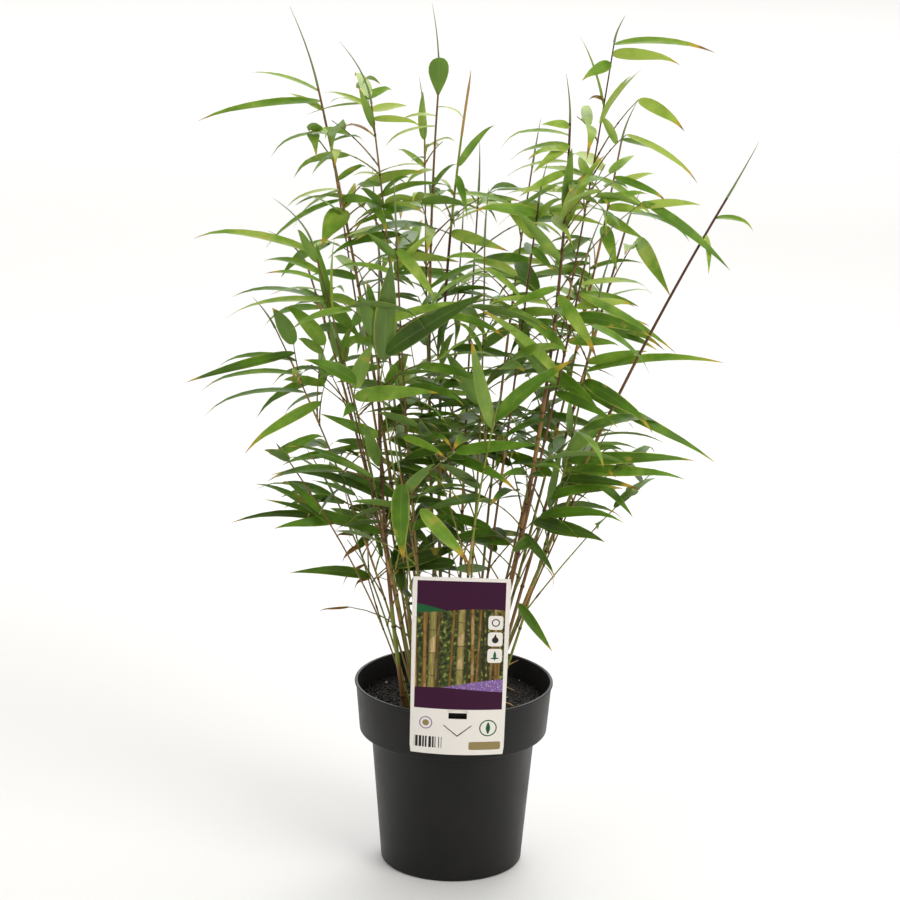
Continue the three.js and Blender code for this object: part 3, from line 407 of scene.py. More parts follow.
grain_size = add(scatter, "ShaderNodeMath", {0: grain_size, 1: given["Size"]}, operation="MULTIPLY")
grain_flat = add(scatter, "ShaderNodeMath", {0: grain_size, 1: given["Flatness"]}, operation="MULTIPLY")
grain_scale = add(scatter, "ShaderNodeCombineXYZ", {0: grain_size, 1: grain_flat, 2: grain_flat})
placed = add(
    scatter,
    "GeometryNodeInstanceOnPoints",
    {"Points": spread, "Instance": rough_grain, "Rotation": any_turn, "Scale": grain_scale},
)
real = add(scatter, "GeometryNodeRealizeInstances", {0: placed})
dressed = add(scatter, "GeometryNodeSetMaterial", {"Geometry": real, "Material": given["Material"]})
add(scatter, "NodeGroupOutput", {0: dressed})

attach(soil_mass, "root")
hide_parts("soil")
# Each kind of loose bit: how many lie on a square metre, how long the largest is in millimetres, and how
# thick it is for its length.
CRUMBS = (150000, 3.4, 0.8)
BARK_CHIPS = (9000, 7.5, 0.34)
PERLITE_GRAINS = (2600, 3.0, 0.85)
for name, (density, size, flatness), material, seed in (
    ("soil_crumbs", CRUMBS, peat, SOIL_SEED),
    ("soil_bark_chips", BARK_CHIPS, bark, SOIL_SEED + 1),
    ("soil_perlite", PERLITE_GRAINS, perlite, SOIL_SEED + 2),
):
    bits = run_tree(
        name,
        soil_mesh.copy(),
        scatter,
        {"Density": density, "Size": size * MM, "Flatness": flatness, "Seed": seed, "Material": material},
    )
    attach(bits, "root")

# Plant card. A thin laminated card, 93 by 182 mm, bowed round the collar at its foot. It has a window and a
# V-shaped slit near the foot, and a strip of it is folded back over the rim to hold it.
CARD_WIDTH = 93
CARD_SPREAD = 3.4
CARD_BOTTOM = 149
CARD_TOP = 331
CARD_THICKNESS = 0.6
CARD_FRONT = 104.5
CARD_MIDDLE = 1.4
CARD_LEAN = math.radians(0.8)
CARD_BOW = 7
CARD_CORNER = 0.9
CARD_COLUMNS = 30
CARD_ROWS = 24
# The window's width, height and lower edge, the slit's width, top, depth and gap, and the strip's width
# and drop.
WINDOW = (18, 6.4, 186.2)
SLIT = (29, 179.6, 10.4, 1.5)
STRIP = (20, 20)
CARD_SHARP_TURN = 40

lean = Matrix.Translation((CARD_MIDDLE * MM, 0, 0)) @ Matrix.Rotation(CARD_LEAN, 4, "Y")


def card_surface(across, height):
    """How far back the card's front face lies at a place on it, in millimetres."""
    bow = CARD_BOW * (1 - (height - CARD_BOTTOM) / (CARD_TOP - CARD_BOTTOM))
    return -CARD_FRONT + bow * (2 * across / CARD_WIDTH) ** 2


def closed_slab(name, front, back, columns, rows):
    """A slab skinned over two grids of points, one for each of its faces."""
    points = [tuple(c * MM for c in point) for point in front + back]
    faces = []
    width = columns + 1
    behind = len(front)
    for row in range(rows):
        for column in range(columns):
            a = row * width + column
            faces.append((a, a + 1, a + 1 + width, a + width))
            faces.append((behind + a + width, behind + a + 1 + width, behind + a + 1, behind + a))
    low = list(range(width))
    right = [row * width + columns for row in range(rows + 1)]
    high = [rows * width + column for column in reversed(range(width))]
    left = [row * width for row in reversed(range(rows + 1))]
    edge = low + right[1:] + high[1:] + left[1:]
    for a, b in zip(edge, edge[1:]):
        faces.append((a, behind + a, behind + b, b))
    return mesh_from(name, points, faces)


card_front = []
card_back = []
for row in range(CARD_ROWS + 1):
    height = CARD_BOTTOM + (CARD_TOP - CARD_BOTTOM) * row / CARD_ROWS
    inset = CARD_CORNER - min(CARD_CORNER, height - CARD_BOTTOM, CARD_TOP - height)
    half_width = CARD_WIDTH / 2 - CARD_CORNER + math.sqrt(CARD_CORNER**2 - inset**2)
    half_width += CARD_SPREAD * ((height - CARD_BOTTOM) / (CARD_TOP - CARD_BOTTOM) - 0.3) / 2
    for column in range(CARD_COLUMNS + 1):
        across = (2 * column / CARD_COLUMNS - 1) * half_width
        card_front.append((across, card_surface(across, height), height))
        card_back.append((across, card_surface(across, height) + CARD_THICKNESS, height))
card_blank = link(
    "card_blank", closed_slab("card_blank", card_front, card_back, CARD_COLUMNS, CARD_ROWS)
)


def straight_cutter(name, outline):
    """A cutter that runs straight through the card, from an outline of across and height."""
    points, faces = [], []
    far, near = ([(x, y, z) for x, z in outline] for y in (12 - CARD_FRONT, -8 - CARD_FRONT))
    add_prism(points, faces, far, near)
    return link(name, mesh_from(name, points, faces))


window_half, window_low, window_top = WINDOW[0] / 2, WINDOW[2], WINDOW[2] + WINDOW[1]
window = [(-1, window_low), (1, window_low), (1, window_top), (-1, window_top)]
slit_half, slit_top, slit_gap = SLIT[0] / 2, SLIT[1], SLIT[3]
slit_foot = slit_top - SLIT[2]
slit = [
    (-slit_half, slit_top),
    (0, slit_foot - slit_gap),
    (slit_half, slit_top),
    (slit_half - slit_gap, slit_top),
    (0, slit_foot),
    (slit_gap - slit_half, slit_top),
]
cutters = (
    straight_cutter("window_cutter", [(side * window_half, z) for side, z in window]),
    straight_cutter("slit_cutter", slit),
)
for cutter in cutters:
    cut_away(card_blank, cutter)
card = bake_modifiers(card_blank, "plant_card")
for cutter in cutters:
    bpy.data.objects.remove(cutter)

# The folded strip, from the back of the card over the rim and down inside the pot.
strip_width, strip_drop = STRIP
card_back_y = -CARD_FRONT + CARD_THICKNESS
strip_path = [
    (card_back_y - 0.1, window_top + 3),
    (card_back_y + 0.1, window_top + 0.5),
    (card_back_y + 0.7, POT_HEIGHT + 4),
    (-RIM_RADIUS - 0.3, POT_HEIGHT + 1.4),
    (-RIM_RADIUS + 1.6, POT_HEIGHT + 0.5),
    (-RIM_RADIUS + 4.4, POT_HEIGHT + 0.6),
    (-RIM_RADIUS + 6.2, POT_HEIGHT - 1),
    (-RIM_RADIUS + 6.6, POT_HEIGHT - 5),
    (-RIM_RADIUS + 7.6, POT_HEIGHT - strip_drop),
]
strip_outer = []
strip_inner = []
for step, (y, z) in enumerate(strip_path):
    before, after = strip_path[max(0, step - 1)], strip_path[min(len(strip_path) - 1, step + 1)]
    run = Vector((after[0] - before[0], after[1] - before[1])).normalized()
    for across in (-strip_width / 2, 0, strip_width / 2):
        strip_outer.append((across, y, z))
        strip_inner.append((across, y + run.y * CARD_THICKNESS, z - run.x * CARD_THICKNESS))
strip = link(
    "card_strip", closed_slab("card_strip", strip_outer, strip_inner, 2, len(strip_path) - 1)
)

# The print, on smooth laminated card. It is a plain layout of its own, with no lettering.
PRINT_WHITE = "#e6e1d9"
PRINT_PLUM = "#36062c"
PRINT_GREEN = "#18552d"
PRINT_LILAC = "#7d5c96"
PRINT_KHAKI = "#8f7e52"
PRINT_INK = "#2a2526"

card_print, tree, place = new_material("printed laminated card")
flat = add(
    tree,
    "ShaderNodeMapping",
    {
        "Vector": place,
        "Location": (-CARD_MIDDLE * math.cos(CARD_LEAN), 0, -CARD_MIDDLE * math.sin(CARD_LEAN)),
        "Rotation": (0, -CARD_LEAN, 0),
        "Scale": (1000, 1000, 1000),
    },
    vector_type="POINT",
)
card_x, _, card_z = add(tree, "ShaderNodeSeparateXYZ", {0: flat}).outputs


def oval(tree, middle_x, middle_z, half_x, half_z, power):
    """One inside an oval of the card, or inside a rounded square if the power is high."""
    terms = []
    for value, middle, half in ((card_x, middle_x, half_x), (card_z, middle_z, half_z)):
        share = add(tree, "ShaderNodeMath", {0: value, 1: middle}, operation="SUBTRACT")
        share = add(tree, "ShaderNodeMath", {0: share, 1: half}, operation="DIVIDE")
        share = add(tree, "ShaderNodeMath", {0: share}, operation="ABSOLUTE")
        terms.append(add(tree, "ShaderNodeMath", {0: share, 1: power}, operation="POWER"))
    total = add(tree, "ShaderNodeMath", {0: terms[0], 1: terms[1]}, operation="ADD")
    return add(tree, "ShaderNodeMath", {0: total, 1: 1.0}, operation="LESS_THAN")


def wave(tree, middle, height, pitch, shift):
    """A wavy height across the card."""
    turn = add(tree, "ShaderNodeMath", {0: card_x, 1: math.tau / pitch}, operation="MULTIPLY")
    turn = add(tree, "ShaderNodeMath", {0: turn, 1: shift}, operation="ADD")
    swing = add(tree, "ShaderNodeMath", {0: turn}, operation="SINE")
    swing = add(tree, "ShaderNodeMath", {0: swing, 1: height}, operation="MULTIPLY")
    return add(tree, "ShaderNodeMath", {0: swing, 1: middle}, operation="ADD")


# The picture on the card: a thicket of bamboo, with blurred leaves behind and canes in front, each shaded
# round and crossed by its joints.
leafage = add(tree, "ShaderNodeTexNoise", {"Vector": flat, "Scale": 0.24, "Detail": 3})
picture = with_stops(
    add(tree, "ShaderNodeValToRGB", {0: leafage}),
    (0.3, "#14180b"),
    (0.46, "#2c3816"),
    (0.58, "#525a24"),
    (0.72, "#a8ad55"),
)
stretched = add(tree, "ShaderNodeMapping", {"Vector": flat, "Scale": (1, 1, 0.16)})
streaked = add(tree, "ShaderNodeTexNoise", {"Vector": stretched, "Scale": 0.7, "Detail": 3})
streaked = add(tree, "ShaderNodeMapRange", {0: streaked, 1: 0.35, 2: 0.65, 3: 0.0, 4: 0.5})
# Each layer of canes, from the back: the pitch of its places, the share of them that hold a cane, the
# cane's half width as a share of the pitch, its lean, its darkest and lightest wood, a shift of its own, and
# how crisp it is.
for pitch, presence, half, lean_share, dark, light, layer, crisp in (
    (4.1, 0.5, 0.24, 0.045, "#2f2a12", "#5a4820", 3.0, 0.0),
    (6.7, 0.5, 0.22, -0.035, "#5c3d1a", "#93702f", 17.0, 0.2),
    (11.3, 0.55, 0.17, 0.02, "#7a5524", "#c0904a", 29.0, 0.5),
    (27.0, 0.6, 0.14, -0.012, "#8d8a45", "#d9b878", 41.5, 0.9),
):
    leaned = add(tree, "ShaderNodeMath", {0: card_z, 1: lean_share}, operation="MULTIPLY")
    leaned = add(tree, "ShaderNodeMath", {0: card_x, 1: leaned}, operation="ADD")
    counted = add(tree, "ShaderNodeMath", {0: leaned, 1: pitch}, operation="DIVIDE")
    counted = add(tree, "ShaderNodeMath", {0: counted, 1: layer}, operation="ADD")
    cell = add(tree, "ShaderNodeMath", {0: counted}, operation="FLOOR")
    luck = add(tree, "ShaderNodeTexWhiteNoise", {"W": cell}, noise_dimensions="1D").outputs
    lucky = add(tree, "ShaderNodeSeparateXYZ", {0: luck["Color"]}).outputs
    middle = add(tree, "ShaderNodeMath", {0: lucky[0], 1: 0.5}, operation="SUBTRACT")
    middle = add(tree, "ShaderNodeMath", {0: middle, 1: 0.3}, operation="MULTIPLY")
    middle = add(tree, "ShaderNodeMath", {0: middle, 1: 0.5}, operation="ADD")
    off_middle = add(tree, "ShaderNodeMath", {0: counted}, operation="FRACT")
    off_middle = add(tree, "ShaderNodeMath", {0: off_middle, 1: middle}, operation="SUBTRACT")
    edge_share = add(tree, "ShaderNodeMath", {0: off_middle}, operation="ABSOLUTE")
    edge_share = add(tree, "ShaderNodeMath", {0: edge_share, 1: half}, operation="DIVIDE")
    there = add(tree, "ShaderNodeMath", {0: lucky[1], 1: presence}, operation="LESS_THAN")
    clean_edge = add(tree, "ShaderNodeMapRange", {0: edge_share, 1: 1.0, 2: 0.9})
    there = add(tree, "ShaderNodeMath", {0: there, 1: clean_edge}, operation="MULTIPLY")
    wood = add(tree, "ShaderNodeMix", {0: lucky[2], 6: dark, 7: light}, data_type="RGBA")
    joint_gap = add(tree, "ShaderNodeMath", {0: lucky[0], 1: 16.0}, operation="MULTIPLY")
    joint_gap = add(tree, "ShaderNodeMath", {0: joint_gap, 1: 21.0}, operation="ADD")
    joint_count = add(tree, "ShaderNodeMath", {0: card_z, 1: joint_gap}, operation="DIVIDE")
    joint_count = add(tree, "ShaderNodeMath", {0: joint_count, 1: luck[0]}, operation="ADD")
    joint_at = add(tree, "ShaderNodeMath", {0: joint_count}, operation="FRACT")
    joint_luck = add(tree, "ShaderNodeMath", {0: joint_count}, operation="FLOOR")
    cell_seed = add(tree, "ShaderNodeMath", {0: cell, 1: 7.3}, operation="MULTIPLY")
    joint_luck = add(tree, "ShaderNodeMath", {0: joint_luck, 1: cell_seed}, operation="ADD")
    joint_luck = add(tree, "ShaderNodeTexWhiteNoise", {"W": joint_luck}, noise_dimensions="1D")
    sheath_end = add(tree, "ShaderNodeMapRange", {0: joint_luck, 1: 0.0, 2: 1.0, 3: -0.6, 4: 1.1})
    sheath_end = add(tree, "ShaderNodeMath", {0: sheath_end, 1: off_middle}, operation="ADD")
    under_sheath = add(tree, "ShaderNodeMath", {0: sheath_end, 1: joint_at}, operation="SUBTRACT")
    under_sheath = add(tree, "ShaderNodeMapRange", {0: under_sheath, 1: 0.0, 2: 0.05})
    blend = add(tree, "ShaderNodeMath", {0: under_sheath, 1: crisp}, operation="MULTIPLY")
    wood = add(tree, "ShaderNodeMix", {0: blend, 6: wood, 7: "#cfb47c"}, data_type="RGBA")
    wood = add(tree, "ShaderNodeMix", {0: streaked, 6: wood, 7: "#4a3c1c"}, data_type="RGBA")
    joint_line = add(tree, "ShaderNodeMath", {0: joint_at, 1: 0.015, 2: 0.015}, operation="COMPARE")
    joint_line = add(tree, "ShaderNodeMath", {0: joint_line, 1: 0.3 + 0.6 * crisp}, operation="MULTIPLY")
    wood = add(tree, "ShaderNodeMix", {0: joint_line, 6: wood, 7: "#2b2110"}, data_type="RGBA")
    blend = add(tree, "ShaderNodeMapRange", {0: edge_share, 1: 0.35, 2: 1.0, 3: 0.0, 4: 0.8})
    wood = add(tree, "ShaderNodeMix", {0: blend, 6: wood, 7: "#1c1a0c"}, data_type="RGBA")
    picture = add(tree, "ShaderNodeMix", {0: there, 6: picture, 7: wood}, data_type="RGBA")

# The layout: a plum head with a green swell, the picture with three white badges down its right side, a
# lilac swell and a plum band, and a white foot.
FIELD_HALF = CARD_WIDTH / 2 - 3.6
FIELD_LOW = 196
FIELD_HIGH = 327.4
BADGE_X = 34
BADGE_HALF = 7.2
BADGE_HEIGHTS = (286, 269, 252)

printed = PRINT_WHITE
inside_border = add(tree, "ShaderNodeMath", {0: card_x, 1: 0, 2: FIELD_HALF}, operation="COMPARE")
field = add(
    tree,
    "ShaderNodeMath",
    {0: card_z, 1: (FIELD_LOW + FIELD_HIGH) / 2, 2: (FIELD_HIGH - FIELD_LOW) / 2},
    operation="COMPARE",
)
field = add(tree, "ShaderNodeMath", {0: inside_border, 1: field}, operation="MULTIPLY")
printed = add(tree, "ShaderNodeMix", {0: field, 6: printed, 7: picture}, data_type="RGBA")
head = wave(tree, 297, 2.6, 150, 0.6)
head = add(tree, "ShaderNodeMath", {0: card_z, 1: head}, operation="GREATER_THAN")
head = add(tree, "ShaderNodeMath", {0: field, 1: head}, operation="MULTIPLY")
printed = add(tree, "ShaderNodeMix", {0: head, 6: printed, 7: PRINT_PLUM}, data_type="RGBA")
swell = add(tree, "ShaderNodeMath", {0: card_z, 1: wave(tree, 297, 8.5, 190, 3.6)}, operation="LESS_THAN")
swell = add(tree, "ShaderNodeMath", {0: swell, 1: head}, operation="MULTIPLY")
printed = add(tree, "ShaderNodeMix", {0: swell, 6: printed, 7: PRINT_GREEN}, data_type="RGBA")
lilac = add(tree, "ShaderNodeMath", {0: card_z, 1: wave(tree, 221, 6.5, 200, 0.1)}, operation="LESS_THAN")
speckle = add(tree, "ShaderNodeTexVoronoi", {"Vector": flat, "Scale": 0.55})
speckle = add(tree, "ShaderNodeMapRange", {0: speckle, 1: 0.3, 2: 0.2})
lilac_print = add(tree, "ShaderNodeMix", {0: speckle, 6: PRINT_LILAC, 7: "#c9bcd6"}, data_type="RGBA")
lilac = add(tree, "ShaderNodeMath", {0: field, 1: lilac}, operation="MULTIPLY")
printed = add(tree, "ShaderNodeMix", {0: lilac, 6: printed, 7: lilac_print}, data_type="RGBA")
band = add(tree, "ShaderNodeMath", {0: card_z, 1: wave(tree, 216, 2.2, 160, 2.4)}, operation="LESS_THAN")
band = add(tree, "ShaderNodeMath", {0: field, 1: band}, operation="MULTIPLY")
printed = add(tree, "ShaderNodeMix", {0: band, 6: printed, 7: PRINT_PLUM}, data_type="RGBA")
for badge, badge_z in enumerate(BADGE_HEIGHTS):
    plate = oval(tree, BADGE_X, badge_z, BADGE_HALF, BADGE_HALF, 6)
    printed = add(tree, "ShaderNodeMix", {0: plate, 6: printed, 7: PRINT_WHITE}, data_type="RGBA")
    # A ring, a drop and a plant, each of two ovals: the shift upwards, the half width and height, the power
    # and the colour.
    for rise, wide, tall, power, colour in (
        ((0, 4, 4, 2, PRINT_INK), (0, 2.9, 2.9, 2, PRINT_WHITE)),
        ((-0.8, 3.2, 3.2, 2, PRINT_INK), (2.2, 1.3, 3.2, 1.2, PRINT_INK)),
        ((0, 1.5, 5, 1.3, PRINT_GREEN), (-2.5, 4.2, 1, 1.5, PRINT_GREEN)),
    )[badge]:
        sign = oval(tree, BADGE_X, badge_z + rise, wide, tall, power)
        printed = add(tree, "ShaderNodeMix", {0: sign, 6: printed, 7: colour}, data_type="RGBA")
# The foot: a green ring with a leaf, a khaki block, and a lilac ring with a khaki dot.
for x, z, wide, tall, power, colour in (
    (30, 177, 8.6, 8.6, 2, PRINT_GREEN),
    (30, 177, 7.4, 7.4, 2, PRINT_WHITE),
    (30, 177, 2.2, 6.2, 1.4, PRINT_GREEN),
    (27, 158.5, 15.5, 4.2, 10, PRINT_KHAKI),
    (-31, 181, 6.4, 6.4, 2, PRINT_LILAC),
    (-31, 181, 5.4, 5.4, 2, PRINT_WHITE),
    (-31, 181, 3.2, 3.2, 2, PRINT_KHAKI),
):
    sign = oval(tree, x, z, wide, tall, power)
    printed = add(tree, "ShaderNodeMix", {0: sign, 6: printed, 7: colour}, data_type="RGBA")
# Upright bars of a random rhythm that stands for no number. Their field has a middle and a half width, both
# across and up.
BARS_ACROSS = (-28.5, 13.5)
BARS_UP = (161.25, 5.75)
bar_luck = add(tree, "ShaderNodeMath", {0: card_x, 1: 1.15}, operation="MULTIPLY")
bar_luck = add(tree, "ShaderNodeMath", {0: bar_luck}, operation="FLOOR")
bar_luck = add(tree, "ShaderNodeTexWhiteNoise", {"W": bar_luck}, noise_dimensions="1D")
bars = add(tree, "ShaderNodeMath", {0: bar_luck, 1: 0.45}, operation="GREATER_THAN")
for value, (middle, half) in ((card_x, BARS_ACROSS), (card_z, BARS_UP)):
    within = add(tree, "ShaderNodeMath", {0: value, 1: middle, 2: half}, operation="COMPARE")
    bars = add(tree, "ShaderNodeMath", {0: bars, 1: within}, operation="MULTIPLY")
printed = add(tree, "ShaderNodeMix", {0: bars, 6: printed, 7: PRINT_INK}, data_type="RGBA")
surface = add(
    tree,
    "ShaderNodeBsdfPrincipled",
    {"Base Color": printed, "Roughness": 0.5, "IOR": 1.5, "Specular IOR Level": 0.2},
)
add(tree, "ShaderNodeOutputMaterial", {"Surface": surface})

# The card's unprinted back and edges.
card_paper, tree, place = new_material("unprinted white card")
blend = add(tree, "ShaderNodeTexNoise", {"Vector": place, "Scale": 180, "Detail": 3})
tint = add(tree, "ShaderNodeMix", {0: blend, 6: "#cdc8bd", 7: "#dad6cd"}, data_type="RGBA")
surface = add(tree, "ShaderNodeBsdfPrincipled", {"Base Color": tint, "Roughness": 0.6})
add(tree, "ShaderNodeOutputMaterial", {"Surface": surface})

card.data.materials.clear()
card.data.materials.append(card_print)
card.data.materials.append(card_paper)
for face in card.data.polygons:
    face.material_index = 0 if face.normal.y < -0.7 else 1
strip.data.materials.append(card_paper)
for sheet in (card, strip):
    sheet.data.shade_smooth()
    sheet.data.set_sharp_from_angle(angle=math.radians(CARD_SHARP_TURN))
    sheet.data.transform(lean)
    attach(sheet, "root")
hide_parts("plant_card")

